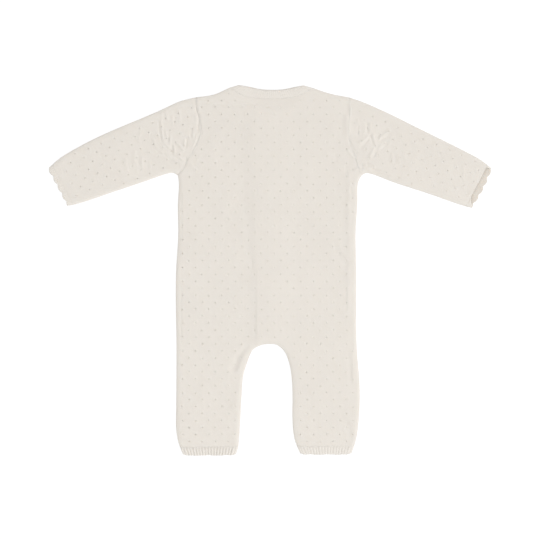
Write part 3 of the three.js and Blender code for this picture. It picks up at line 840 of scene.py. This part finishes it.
fronts = {}
for side, name in ((LEFT, "left"), (RIGHT, "right")):
    loop, rolled = front_loop(side)
    places, faces, relief, wall, count = panel_mesh(
        loop, rolled, UPRIGHT, ORIGIN + UNDER_SHIFT, FRONT_WALL, creased=False
    )
    cloth = Cloth(SEAM_GAP / 2)
    cloth.add(places, faces, -1, knit_of(places, UPRIGHT, ORIGIN), thickness=wall)
    fronts[name] = cloth.make(f"front_{name}_knit")

# %% [markdown]
# A sleeve is knitted as one piece and closed under the arm. Pressed flat it is a tube with a top and an
# underside. Its knit runs along the arm, so the eyelets turn with it.

# %% The sleeves
SLEEVE_ANGLE = {-1: math.radians(201.5), 1: math.radians(-23.5)}


def sleeve_loop(side):
    upper_end = total(side["sleeve_upper"]) - EDGING_DEPTH
    lower_end = total(side["sleeve_lower"]) - EDGING_DEPTH
    shift = np.array([side["sign"] * 0.06, -0.02]) * MM
    armhole = whole(side["armhole"]) + shift
    armhole[0] = side["armhole"][0]
    armhole[-1] = side["armhole"][-1]
    return loop_of(
        (armhole, False),
        (stretch(side["sleeve_lower"], 0, lower_end), True),
        (straight(*sleeve_end(side)[::-1]), False),
        (stretch(side["sleeve_upper"], upper_end, 0), True),
    )


sleeves = {}
for side, name in ((LEFT, "left"), (RIGHT, "right")):
    loop, rolled = sleeve_loop(side)
    angle = SLEEVE_ANGLE[side["sign"]]
    middle = side["armhole"][len(side["armhole"]) // 2]
    cloth = Cloth()
    for layer, origin in ((1, middle), (-1, middle + UNDER_SHIFT)):
        places, faces, relief, wall, count = panel_mesh(
            loop, rolled, angle, origin, THIN_WALL, creased=layer > 0
        )
        relief = relief if layer > 0 else 0.0
        cloth.add(places, faces, layer, knit_of(places, angle, origin), relief, thickness=wall)
    sleeves[name] = cloth.make(f"sleeve_{name}_knit")

# %% [markdown]
# The sleeve ends in a knitted edging with round scallops. Going round the sleeve end, the free edge swings
# out and back nine times, and each scallop has a few fine ribs that fan out. On the right sleeve the top half
# of the edging is turned in, so the inside of its lower half shows, and that half hangs out a little further.

# %% The scalloped sleeve edgings
SCALLOPS = 9
SCALLOP_DEPTH = 2.3 * MM
RIBS_PER_SCALLOP = 5
ROUND_SHARES = np.array([0, 0.006, 0.012, 0.02, 0.031])
TUCKED = 1.0 * MM
TUCK_DEPTH = 0.35 * MM
TURNED_IN_REACH = 0.2 * MM
SLACK = 2.4 * MM


def tucked(distance):
    """How far a trim sinks below its neighbour's surface where it starts underneath it."""
    return -TUCK_DEPTH * (1 - eased(-0.2 * MM, 1.2 * MM, distance))


def edging_rows(side, layer, turned_depth, slack, steps=160, rows=9):
    upper = total(side["sleeve_upper"]) - EDGING_DEPTH
    lower = total(side["sleeve_lower"]) - EDGING_DEPTH
    across = np.concatenate([ROUND_SHARES, np.linspace(0.045, 0.955, steps), 1 - ROUND_SHARES[::-1]])
    around = across if layer > 0 else 2 - across
    wave = np.abs(np.sin(math.pi * SCALLOPS * around / 2))
    reach = EDGING_DEPTH - SCALLOP_DEPTH * (1 - wave)
    corners = np.minimum(eased(0, 0.07, across), eased(0, 0.24, 1 - across))
    if layer > 0:
        reach = reach + (np.minimum(turned_depth, reach) - reach) * corners
        slack = slack * (1 - corners)
    angle = SLEEVE_ANGLE[side["sign"]]
    hanging = (slack * np.sin(math.pi * across))[:, None] * np.array([math.cos(angle), math.sin(angle)])
    places = []
    raised = []
    for share in np.linspace(0, 1, rows):
        out = share * (reach + TUCKED) - TUCKED
        top = at(side["sleeve_upper"], upper + out)
        bottom = at(side["sleeve_lower"], lower + out)
        places.append(top + across[:, None] * (bottom - top) + share * hanging)
        fan = np.cos(math.pi * SCALLOPS * around * RIBS_PER_SCALLOP)
        rounded = math.sqrt(max(1 - share**6, 0)) - 1
        raised.append((0.22 * fan * min(share * 3, 1) * wave + 0.5 * rounded) * MM + tucked(out))
    return np.vstack(places), grid_faces(rows, len(across)), np.concatenate(raised)


SLEEVE_ENDS = [
    # side, name, reach_of_top_half, slack
    (LEFT, "left", EDGING_DEPTH, 0.0),
    (RIGHT, "right", TURNED_IN_REACH, SLACK),
]
edgings = {}
for side, name, turned, slack in SLEEVE_ENDS:
    cloth = Cloth()
    angle = SLEEVE_ANGLE[side["sign"]]
    for layer in (1, -1):
        places, faces, raised = edging_rows(side, layer, turned, slack)
        knit = knit_of(places, angle, side["armhole"][0])
        sunk = np.minimum(raised, 0)
        cloth.add(places, faces, layer, knit, raised if layer > 0 else sunk, thickness=THIN_WALL)
    edgings[name] = cloth.make(f"sleeve_edge_{name}_knit")

# %% [markdown]
# Rib knit stands up in round ridges with narrow valleys between them. It is elastic, so it draws the legs
# and the neck in. The ridges are modelled, because they catch the light and break the outline of the hem.

# %% The ribbed leg cuffs
LEG_RIB_HEIGHT = {-1: 2.2 * MM, 1: 1.25 * MM}
LEG_RIBS = 19
LEG_STEPS = 198
HEM_ROUNDING = 1.9 * MM


def rib_form(position):
    """Round ridges: position counts ribs, and the result goes from 0 in a valley to 1 on a ridge."""
    phase = 2 * (position % 1) - 1
    return np.sqrt(np.maximum(1 - phase**2, 0))


def leg_cuff_rows(side, layer, steps=LEG_STEPS, rows=10):
    outer_start = total(side["side"]) - LEG_CUFF_HEIGHT
    inner_start = total(side["inseam"]) - LEG_CUFF_HEIGHT
    across = np.concatenate([ROUND_SHARES, np.linspace(0.045, 0.955, steps), 1 - ROUND_SHARES[::-1]])
    ribs = rib_form(across * LEG_RIBS)
    places = []
    raised = []
    for share in np.linspace(0, 1, rows):
        wavy = 0.35 * MM * share * (ribs + np.sin(across * 17) + 0.6 * np.sin(across * 41))
        corner = HEM_ROUNDING * share * (1 - eased(0, 0.07, across) * eased(0, 0.07, 1 - across))
        down = share * (LEG_CUFF_HEIGHT + TUCKED) - TUCKED - wavy - corner
        outer = at(side["side"], outer_start + down)
        inner = at(side["inseam"], inner_start + down)
        places.append(outer + across[:, None] * (inner - outer))
        rounded = math.sqrt(max(1 - share**8, 0)) - 1
        begin = eased(-0.5 * MM, 3 * MM, down)
        raised.append(LEG_RIB_HEIGHT[side["sign"]] * ribs * begin + 0.6 * rounded * MM + tucked(down))
    return np.vstack(places), grid_faces(rows, len(across)), np.concatenate(raised)


leg_cuffs = {}
for side, name in ((LEFT, "left"), (RIGHT, "right")):
    cloth = Cloth()
    for layer in (1, -1):
        places, faces, raised = leg_cuff_rows(side, layer)
        knit = knit_of(places, UPRIGHT, ORIGIN)
        sunk = np.minimum(raised, 0)
        cloth.add(places, faces, layer, knit, raised if layer > 0 else sunk, thickness=THIN_WALL)
    leg_cuffs[name] = cloth.make(f"leg_cuff_{name}_rib")

# %% [markdown]
# The neckband is a strip of the same rib. Its back half lies on top and its front half underneath, and it
# turns over at the two corners of the neck. The front half stops at the button band.

# %% The neckband
NECK_RIBS = 36
NECK_RIB_HEIGHT = 0.6 * MM
NECK_STEPS = 324
NECKBAND_ROWS = 7
NECKBAND_DEPTH = 0.013
BACK_BAND_LENGTH = 0.14


def neck_rows(seam, edge, shares, seam_stop, edge_stop, ribs, rows=NECKBAND_ROWS):
    start = at(seam, shares * seam_stop)
    end = at(edge, shares * edge_stop)
    width = np.linalg.norm(end - start, axis=1)[:, None]
    start = start - (end - start) * TUCKED * eased(0, 0.1, shares)[:, None] / width
    places = []
    raised = []
    for share in np.linspace(0, 1, rows):
        places.append(start + share * (end - start))
        rounded = math.sqrt(max(1 - share**8, 0)) - 1
        out = share * (width[:, 0] + TUCKED) - TUCKED
        raised.append(NECK_RIB_HEIGHT * ribs * eased(0, 4 * MM, out) + 0.6 * rounded * MM + tucked(out))
    return np.vstack(places), grid_faces(rows, len(shares)), np.concatenate(raised)


neck_cloth = Cloth()
back_shares = np.concatenate([ROUND_SHARES, np.linspace(0.045, 0.955, NECK_STEPS), 1 - ROUND_SHARES[::-1]])
places, faces, raised = neck_rows(
    NECK["back_seam"], NECK["back_edge"], back_shares, total(NECK["back_seam"]), total(NECK["back_edge"]),
    rib_form(back_shares * NECK_RIBS),
)
strip = np.column_stack([
    np.tile(back_shares * BACK_BAND_LENGTH, NECKBAND_ROWS),
    np.repeat(np.linspace(0, NECKBAND_DEPTH, NECKBAND_ROWS), len(back_shares)),
])
neck_cloth.add(places, faces, 1, strip, raised, thickness=THIN_WALL)
front_shares = np.concatenate([ROUND_SHARES, np.linspace(0.045, 1, 42)])
for side in (LEFT, RIGHT):
    stop_x = PLACKET_X + side["sign"] * (PLACKET_HALF + SEAM_GAP)
    seam = NECK["front_seam"] if side["sign"] < 0 else NECK["front_seam"][::-1]
    edge = NECK["front_edge"] if side["sign"] < 0 else NECK["front_edge"][::-1]
    places, faces, raised = neck_rows(
        seam, edge, front_shares, cut_at_x(seam, stop_x), cut_at_x(edge, stop_x), 0 * front_shares
    )
    strip = np.column_stack([
        np.tile(front_shares * 0.07, 7),
        np.repeat(np.linspace(0, NECKBAND_DEPTH, NECKBAND_ROWS), len(front_shares)),
    ])
    neck_cloth.add(places, faces, -1, strip, raised, thickness=THIN_WALL)
neckband = neck_cloth.make("neckband_rib")

# %% [markdown]
# The button bands are two strips of rib down the front, one over the other. They face the surface, so
# only the underside shows them. The buttons hold them clear of it by their own thickness.

# %% The button bands
PLACKET_TOP = 227 * MM
OVER_END = -98.5 * MM
UNDER_END = -89.5 * MM
UNDER_THICKNESS = 1.6 * MM


def band_rows(end, rows=110, columns=13):
    across = np.linspace(-PLACKET_HALF, PLACKET_HALF, columns)
    grid = [
        np.column_stack([PLACKET_X + across, np.full(columns, y)])
        for y in np.linspace(PLACKET_TOP, end, rows)
    ]
    return np.vstack(grid), grid_faces(rows, columns)


bands = {}
for name, end, lift, thickness in (
    ("over", OVER_END, 0.0, WALL),
    ("under", UNDER_END, WALL + SEAM_GAP, UNDER_THICKNESS),
):
    cloth = Cloth(SEAM_GAP / 2)
    places, faces = band_rows(end)
    knit = knit_of(places, 0.0, ORIGIN)
    cloth.add(places, faces, -1, knit, 0.0, lift, thickness)
    bands[name] = cloth.make(f"placket_{name}_rib")

# %% [markdown]
# A button is turned: a profile swept round an axis, with a raised rim and a shallow dish. The lathe profile
# is spun in code. The buttons face the table, so they have no cut holes, and the thread that would fill
# them is a cross of two short bars.

# %% The buttons
FIRST_BUTTON_Y = 216 * MM
BUTTON_PITCH = 49 * MM
BUTTONS = 7
BUTTON_SIDES = 40
THREAD_REACH = 1.25 * MM
THREAD_HEIGHT = 0.45 * MM
THREAD_RADIUS = 0.3 * MM


def stacked_faces(rings, sides):
    """The faces of a closed form whose points are a tip, then rings of points, then another tip."""
    faces = [(0, 1 + (i + 1) % sides, 1 + i) for i in range(sides)]
    for row in range(rings - 1):
        first = 1 + row * sides
        for i in range(sides):
            j = (i + 1) % sides
            faces.append((first + i, first + j, first + sides + j, first + sides + i))
    first = 1 + (rings - 1) * sides
    last = 1 + rings * sides
    faces += [(last, first + i, first + (i + 1) % sides) for i in range(sides)]
    return faces


def spun(profile, sides):
    """A closed turned form: profile rows are (radius, height), from the axis round to the axis again."""
    rings = [row for row in profile if row[0] > 0]
    angles = 2 * math.pi * np.arange(sides) / sides
    points = [(0, 0, profile[0][1])]
    for radius, height in rings:
        points += [(radius * math.cos(a), radius * math.sin(a), height) for a in angles]
    points.append((0, 0, profile[-1][1]))
    return points, stacked_faces(len(rings), sides)


def bead(start, end, radius, sides=8, rows=5):
    """A short round-ended bar of yarn between two points."""
    start, end = np.array(start), np.array(end)
    axis = (end - start) / np.linalg.norm(end - start)
    side = np.cross(axis, [0, 0, 1] if abs(axis[2]) < 0.9 else [1, 0, 0])
    side /= np.linalg.norm(side)
    other = np.cross(axis, side)
    angles = 2 * math.pi * np.arange(sides) / sides
    points = [start]
    for row in range(rows):
        share = (row + 0.5) / rows
        wide = radius * math.sin(math.pi * share) ** 0.5
        centre = start + (end - start) * (1 - math.cos(math.pi * share)) / 2
        points += [centre + wide * (math.cos(a) * side + math.sin(a) * other) for a in angles]
    points.append(end)
    return points, stacked_faces(rows, sides)


def joined(name, forms):
    """Many small closed forms as one mesh."""
    points = []
    faces = []
    for form_points, form_faces in forms:
        first = len(points)
        points += [tuple(float(value) for value in point) for point in form_points]
        faces += [tuple(first + index for index in face) for face in form_faces]
    mesh = bpy.data.meshes.new(name)
    mesh.from_pydata(points, [], faces)
    mesh.polygons.foreach_set("use_smooth", [True] * len(mesh.polygons))
    piece = bpy.data.objects.new(name, mesh)
    bpy.context.scene.collection.objects.link(piece)
    return piece


button_profile = [
    (0, 0.42), (1.9, 0.4), (3.0, 0.32), (3.7, 0.12), (4.3, 0.02), (4.9, 0.02), (5.4, 0.12), (5.68, 0.35),
    (5.75, 0.7), (5.65, 1.1), (5.3, 1.35), (4.6, 1.4), (0, 1.4),
]
buttons = []
for number in range(1, BUTTONS + 1):
    y = FIRST_BUTTON_Y - (number - 1) * BUTTON_PITCH
    points, faces = spun([(radius * MM, height * MM) for radius, height in button_profile], BUTTON_SIDES)
    points = [(px + PLACKET_X, py + y, pz) for px, py, pz in points]
    buttons.append(joined(f"button_{number}_turned", [(points, [face[::-1] for face in faces])]))
threads = []
for number in range(BUTTONS):
    y = FIRST_BUTTON_Y - number * BUTTON_PITCH
    for turn in (1, -1):
        start = (PLACKET_X - THREAD_REACH, y - turn * THREAD_REACH, THREAD_HEIGHT)
        end = (PLACKET_X + THREAD_REACH, y + turn * THREAD_REACH, THREAD_HEIGHT)
        threads.append(bead(start, end, THREAD_RADIUS))
button_thread = joined("button_thread", threads)
print("buttons:", len(buttons))

# %% [markdown]
# Knitwear is linked, not sewn: a chain of yarn loops joins the pieces. From a step away it reads as a fine
# broken line along each seam. Each loop is a short bar of yarn, and pairs of them lean together like the
# feathers of an arrow.

# %% The linked seams
STITCH_STEP = 2.3 * MM
STITCH_LENGTH = 2.0 * MM
STITCH_RADIUS = 0.38 * MM
STITCH_LEAN = math.radians(24)
STITCH_SPREAD = 0.66 * MM
STITCH_LIFT = 0.04 * MM


def linked_seam(name, line, start=0.0, end=None):
    stop = total(line) if end is None else end
    middles = np.arange(start + STITCH_STEP, stop - STITCH_STEP / 2, STITCH_STEP)
    places = at(line, middles)
    ahead = at(line, middles + 0.2 * MM) - places
    ahead /= np.linalg.norm(ahead, axis=1)[:, None]
    forms = []
    for lean, shift in ((STITCH_LEAN, 0.5), (-STITCH_LEAN, -0.5)):
        turn = np.array([[math.cos(lean), -math.sin(lean)], [math.sin(lean), math.cos(lean)]])
        along = ahead @ turn.T
        across = np.column_stack([-ahead[:, 1], ahead[:, 0]])
        centre = places + across * shift * STITCH_SPREAD
        tail = centre - along * STITCH_LENGTH / 2
        head = centre + along * STITCH_LENGTH / 2
        tail_top, _ = surface(tail, 1)
        head_top, _ = surface(head, 1)
        lift = [0, 0, STITCH_LIFT]
        for a, b in zip(tail_top, head_top):
            forms.append(bead(a + lift, b + lift, STITCH_RADIUS, sides=6, rows=4))
    return joined(name, forms)


def inset(line, share=0.03):
    return total(line) * share, total(line) * (1 - share)


seams = [
    linked_seam("seam_armhole_left", LEFT["armhole"], *inset(LEFT["armhole"])),
    linked_seam("seam_armhole_right", RIGHT["armhole"], *inset(RIGHT["armhole"])),
    linked_seam("seam_neck", NECK["back_seam"], *inset(NECK["back_seam"])),
]
print("seams:", len(seams))

# %% [markdown]
# The finish is cream cotton yarn. Every knitted material needs the same three effects, so each is a node
# group with named inputs: the stitch, which is a V of two leaning loops; the fuzz of fine fibres; and a
# slow change of tone, which also mixes a darker painted shade colour into the valleys between the loops.
# The stitch is placed by the knit_place attribute, which holds how far a point lies across and along the
# knit, so it follows the sleeves and needs no unwrapping.


# %% Node group helpers
def new_group(name, inputs, outputs):
    group = bpy.data.node_groups.new(name, "ShaderNodeTree")
    for title, kind, value in inputs:
        socket = group.interface.new_socket(name=title, in_out="INPUT", socket_type=kind)
        if value is not None:
            socket.default_value = value
    for title, kind in outputs:
        group.interface.new_socket(name=title, in_out="OUTPUT", socket_type=kind)
    return group, group.nodes.new("NodeGroupInput"), group.nodes.new("NodeGroupOutput")


def node(tree, kind, values=None, **settings):
    made = tree.nodes.new(kind)
    for title, value in settings.items():
        setattr(made, title, value)
    for title, value in (values or {}).items():
        made.inputs[title].default_value = value
    return made


def maths(tree, operation, first, second=None, third=None):
    made = node(tree, "ShaderNodeMath", operation=operation)
    for index, value in enumerate((first, second, third)):
        if isinstance(value, (int, float)):
            made.inputs[index].default_value = value
        elif value is not None:
            tree.links.new(value, made.inputs[index])
    return made.outputs[0]


# %% [markdown]
# The stitch group folds the place across the knit about each column, so that both halves of a V are one
# formula, then slants the rows by that fold. What is left is the height of round yarn.


# %% The stitch group
def make_stitch_group():
    group, given, result = new_group(
        "knit_stitch",
        [
            ("Place", "NodeSocketVector", None),
            ("Stitch Width", "NodeSocketFloat", 1.9 * MM),
            ("Stitch Height", "NodeSocketFloat", 1.5 * MM),
        ],
        [("Height", "NodeSocketFloat"), ("Valley", "NodeSocketFloat")],
    )
    split = node(group, "ShaderNodeSeparateXYZ")
    group.links.new(given.outputs["Place"], split.inputs[0])
    column = maths(group, "DIVIDE", split.outputs["X"], given.outputs["Stitch Width"])
    fold = maths(group, "ABSOLUTE", maths(group, "SUBTRACT", maths(group, "FRACT", column), 0.5))
    course = maths(group, "DIVIDE", split.outputs["Y"], given.outputs["Stitch Height"])
    slanted = maths(group, "MULTIPLY_ADD", fold, 1.3, course)
    turn = maths(group, "MULTIPLY", slanted, 2 * math.pi)
    loop = maths(group, "MULTIPLY_ADD", maths(group, "SINE", turn), 0.5, 0.5)
    off_leg = maths(group, "SUBTRACT", maths(group, "MULTIPLY", fold, 4), 1)
    leg = maths(group, "SUBTRACT", 1, maths(group, "MULTIPLY", off_leg, off_leg))
    round_leg = maths(group, "SQRT", maths(group, "MAXIMUM", leg, 0.0))
    blend = maths(group, "MULTIPLY", round_leg, maths(group, "MULTIPLY_ADD", loop, 0.55, 0.45))
    group.links.new(blend, result.inputs["Height"])
    group.links.new(maths(group, "SUBTRACT", 1, blend), result.inputs["Valley"])
    return group


def make_fuzz_group():
    group, given, result = new_group(
        "yarn_fuzz",
        [("Scale", "NodeSocketFloat", 2600.0)],
        [("Height", "NodeSocketFloat"), ("Mask", "NodeSocketFloat")],
    )
    place = node(group, "ShaderNodeTexCoord")
    fibres = node(group, "ShaderNodeTexNoise", {"Detail": 3.0, "Roughness": 0.65})
    group.links.new(place.outputs["Object"], fibres.inputs["Vector"])
    group.links.new(given.outputs["Scale"], fibres.inputs["Scale"])
    sharp = maths(group, "SUBTRACT", fibres.outputs["Fac"], 0.5)
    group.links.new(fibres.outputs["Fac"], result.inputs["Height"])
    group.links.new(maths(group, "MULTIPLY", sharp, 2), result.inputs["Mask"])
    return group


def make_tone_group():
    group, given, result = new_group(
        "yarn_tone",
        [
            ("Colour", "NodeSocketColor", (0.6, 0.57, 0.53, 1)),
            ("Valley Shade Colour", "NodeSocketColor", (0.5, 0.46, 0.41, 1)),
            ("Valley", "NodeSocketFloat", 0.0),
            ("Fibres", "NodeSocketFloat", 0.0),
            ("Patch Scale", "NodeSocketFloat", 22.0),
            ("Patch Amount", "NodeSocketFloat", 0.05),
        ],
        [("Colour", "NodeSocketColor"), ("Roughness", "NodeSocketFloat")],
    )
    place = node(group, "ShaderNodeTexCoord")
    patches = node(group, "ShaderNodeTexNoise", {"Detail": 4.0, "Roughness": 0.55})
    group.links.new(place.outputs["Object"], patches.inputs["Vector"])
    group.links.new(given.outputs["Patch Scale"], patches.inputs["Scale"])
    # Painted shade: the yarn colour is mixed towards the darker valley colour where the stitch is low.
    yarn = node(group, "ShaderNodeMix", data_type="RGBA")
    group.links.new(given.outputs["Colour"], yarn.inputs["A"])
    group.links.new(given.outputs["Valley Shade Colour"], yarn.inputs["B"])
    group.links.new(given.outputs["Valley"], yarn.inputs["Factor"])
    drift = maths(group, "SUBTRACT", patches.outputs["Fac"], 0.5)
    spread = maths(group, "MULTIPLY", drift, given.outputs["Patch Amount"])
    fine = maths(group, "MULTIPLY", given.outputs["Fibres"], 0.03)
    bright = maths(group, "ADD", maths(group, "ADD", spread, fine), 1.0)
    scaled = node(group, "ShaderNodeVectorMath", operation="SCALE")
    group.links.new(yarn.outputs["Result"], scaled.inputs[0])
    group.links.new(bright, scaled.inputs["Scale"])
    group.links.new(scaled.outputs["Vector"], result.inputs["Colour"])
    group.links.new(maths(group, "MULTIPLY_ADD", drift, 0.15, 0.86), result.inputs["Roughness"])
    return group


STITCH = make_stitch_group()
FUZZ = make_fuzz_group()
TONE = make_tone_group()
print("node groups:", [group.name for group in (STITCH, FUZZ, TONE)])

# %% [markdown]
# One function makes every yarn finish from those groups. Sheen stands for the halo of loose fibres that
# makes knitwear look soft at grazing angles.


# %% Yarn materials
def yarn_material(name, colour, valley_shade_colour, stitch, bump, valley_shade_share=0.5, patch=0.05, glow=0.5):
    material = bpy.data.materials.new(name)
    material.use_nodes = True
    tree = material.node_tree
    shader = tree.nodes["Principled BSDF"]
    shader.inputs["Sheen Weight"].default_value = 0.25
    shader.inputs["Sheen Roughness"].default_value = 0.5
    shader.inputs["Sheen Tint"].default_value = (1.0, 0.98, 0.95, 1)
    shader.inputs["Specular IOR Level"].default_value = 0.2
    shader.inputs["Subsurface Weight"].default_value = glow
    shader.inputs["Subsurface Radius"].default_value = (1.0, 0.97, 0.92)
    shader.inputs["Subsurface Scale"].default_value = 0.7 * MM
    place = node(tree, "ShaderNodeAttribute", attribute_name="knit_place")
    stitches = node(tree, "ShaderNodeGroup", node_tree=STITCH)
    stitches.inputs["Stitch Width"].default_value = stitch[0]
    stitches.inputs["Stitch Height"].default_value = stitch[1]
    tree.links.new(place.outputs["Vector"], stitches.inputs["Place"])
    fuzz = node(tree, "ShaderNodeGroup", node_tree=FUZZ)
    tone = node(tree, "ShaderNodeGroup", node_tree=TONE)
    tone.inputs["Colour"].default_value = (*colour, 1)
    tone.inputs["Valley Shade Colour"].default_value = (*valley_shade_colour, 1)
    tone.inputs["Patch Amount"].default_value = patch
    tree.links.new(maths(tree, "MULTIPLY", stitches.outputs["Valley"], valley_shade_share), tone.inputs["Valley"])
    tree.links.new(fuzz.outputs["Mask"], tone.inputs["Fibres"])
    height = maths(tree, "MULTIPLY_ADD", fuzz.outputs["Height"], 0.25, stitches.outputs["Height"])
    relief = node(tree, "ShaderNodeBump", {"Strength": 0.8, "Distance": bump})
    tree.links.new(height, relief.inputs["Height"])
    tree.links.new(tone.outputs["Colour"], shader.inputs["Base Color"])
    tree.links.new(tone.outputs["Roughness"], shader.inputs["Roughness"])
    tree.links.new(relief.outputs["Normal"], shader.inputs["Normal"])
    return material


CREAM = (0.82, 0.778, 0.721)
# The deeper colour is painted shade, mixed into the valleys between the stitch loops.
CREAM_VALLEY_SHADE = (0.72, 0.668, 0.6)
# The reverse face has a real finer purl relief. Its darker colour is painted shade, for the purl's small
# shadows and for the inside of the cloth, which lies in shade.
CREAM_REVERSE_SHADED = (0.78, 0.728, 0.655)
knit_cream = yarn_material("knit_cream", CREAM, CREAM_VALLEY_SHADE, (1.9 * MM, 1.5 * MM), 0.25 * MM)
knit_reverse_shaded = yarn_material("knit_reverse_shaded", CREAM_REVERSE_SHADED, CREAM_VALLEY_SHADE, (1.9 * MM, 0.8 * MM), 0.25 * MM)
rib_cream = yarn_material("rib_cream", CREAM, CREAM_VALLEY_SHADE, (1.9 * MM, 1.4 * MM), 0.22 * MM, glow=0.15)
edging_cream = yarn_material("edging_cream", CREAM, CREAM_VALLEY_SHADE, (1.6 * MM, 1.3 * MM), 0.22 * MM)
seam_yarn = yarn_material("seam_yarn", CREAM, CREAM_VALLEY_SHADE, (0.6 * MM, 0.6 * MM), 0.08 * MM, 0.0)

# %% [markdown]
# The buttons are cream and slightly glossy. A cloudy pattern in two close tones is what such a button has.


# %% Button material
def button_material():
    material = bpy.data.materials.new("button_cream")
    material.use_nodes = True
    tree = material.node_tree
    shader = tree.nodes["Principled BSDF"]
    shader.inputs["Coat Weight"].default_value = 0.3
    place = node(tree, "ShaderNodeTexCoord")
    clouds = node(tree, "ShaderNodeTexNoise", {"Scale": 260.0, "Detail": 5.0, "Distortion": 1.2})
    tree.links.new(place.outputs["Object"], clouds.inputs["Vector"])
    tones = node(tree, "ShaderNodeValToRGB")
    tones.color_ramp.elements[0].position = 0.35
    tones.color_ramp.elements[0].color = (0.7, 0.64, 0.54, 1)
    tones.color_ramp.elements[1].position = 0.65
    tones.color_ramp.elements[1].color = (0.83, 0.79, 0.71, 1)
    tree.links.new(clouds.outputs["Fac"], tones.inputs["Fac"])
    tree.links.new(tones.outputs["Color"], shader.inputs["Base Color"])
    tree.links.new(maths(tree, "MULTIPLY_ADD", clouds.outputs["Fac"], 0.15, 0.25), shader.inputs["Roughness"])
    return material


button_cream = button_material()

# %% [markdown]
# Each piece now takes its materials, hides the plain solid it stands for, and rides on the romper's one
# body.


# %% Dress the romper
def dress(piece, materials, nodes):
    for material in materials:
        piece.data.materials.append(material)
    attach(piece, "root")
    if nodes:
        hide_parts(*nodes)


dress(back, [knit_cream, knit_reverse_shaded], ["back"])
for name, piece in fronts.items():
    dress(piece, [knit_cream, knit_reverse_shaded], [f"front_{name}"])
for name, piece in sleeves.items():
    dress(piece, [knit_cream, knit_reverse_shaded], [f"sleeve_{name}"])
for name, piece in edgings.items():
    dress(piece, [edging_cream, knit_reverse_shaded], [f"sleeve_edge_{name}"])
for name, piece in leg_cuffs.items():
    dress(piece, [rib_cream, knit_reverse_shaded], [f"leg_cuff_{name}"])
dress(neckband, [rib_cream, knit_reverse_shaded], ["neckband"])
for name, piece in bands.items():
    dress(piece, [rib_cream, knit_reverse_shaded], [f"placket_{name}"])
for number, piece in enumerate(buttons, start=1):
    dress(piece, [button_cream], [f"button_{number}"])
dress(button_thread, [seam_yarn], [])
for piece in seams:
    dress(piece, [seam_yarn], [])

SURFACE = "floor"

# %% [markdown]
# The romper lies on a white table under soft daylight that comes mainly from the right. The table is bright
# enough to read as pure white, and glows a little so that shadows on it stay faint.

# %% Table, light and world
FLOOR_SIZE = 8.0
floor_mesh = bpy.data.meshes.new(SURFACE)
half = FLOOR_SIZE / 2
floor_corners = [(-half, -half, 0), (half, -half, 0), (half, half, 0), (-half, half, 0)]
floor_mesh.from_pydata(floor_corners, [], [(0, 1, 2, 3)])
floor = bpy.data.objects.new(SURFACE, floor_mesh)
floor.location.z = -0.1 * MM
bpy.context.scene.collection.objects.link(floor)
white = bpy.data.materials.new("table_white")
white.use_nodes = True
table_shader = white.node_tree.nodes["Principled BSDF"]
table_shader.inputs["Base Color"].default_value = (0.3, 0.3, 0.3, 1)
table_shader.inputs["Roughness"].default_value = 0.9
table_shader.inputs["Specular IOR Level"].default_value = 0.0
table_shader.inputs["Emission Color"].default_value = (1, 1, 1, 1)
table_shader.inputs["Emission Strength"].default_value = 0.76
floor_mesh.materials.append(white)


def soft_light(name, place, size, power, colour=(1, 1, 1)):
    data = bpy.data.lights.new(name, "AREA")
    data.shape = "DISK"
    data.size = size
    data.energy = power
    data.color = colour
    lamp = bpy.data.objects.new(name, data)
    lamp.location = place
    lamp.rotation_mode = "QUATERNION"
    lamp.rotation_quaternion = (-Vector(place)).to_track_quat("-Z", "Y")
    bpy.context.scene.collection.objects.link(lamp)


soft_light("window", (6.3, -0.6, 5.1), 3.6, 206)
soft_light("above", (-0.15, -0.8, 3.0), 2.4, 27, (0.96, 0.98, 1.0))
world = bpy.data.worlds.new("room")
world.use_nodes = True
world.node_tree.nodes["Background"].inputs["Color"].default_value = (1, 1, 1, 1)
world.node_tree.nodes["Background"].inputs["Strength"].default_value = 0.66
bpy.context.scene.world = world
bpy.context.scene.view_settings.view_transform = "Standard"
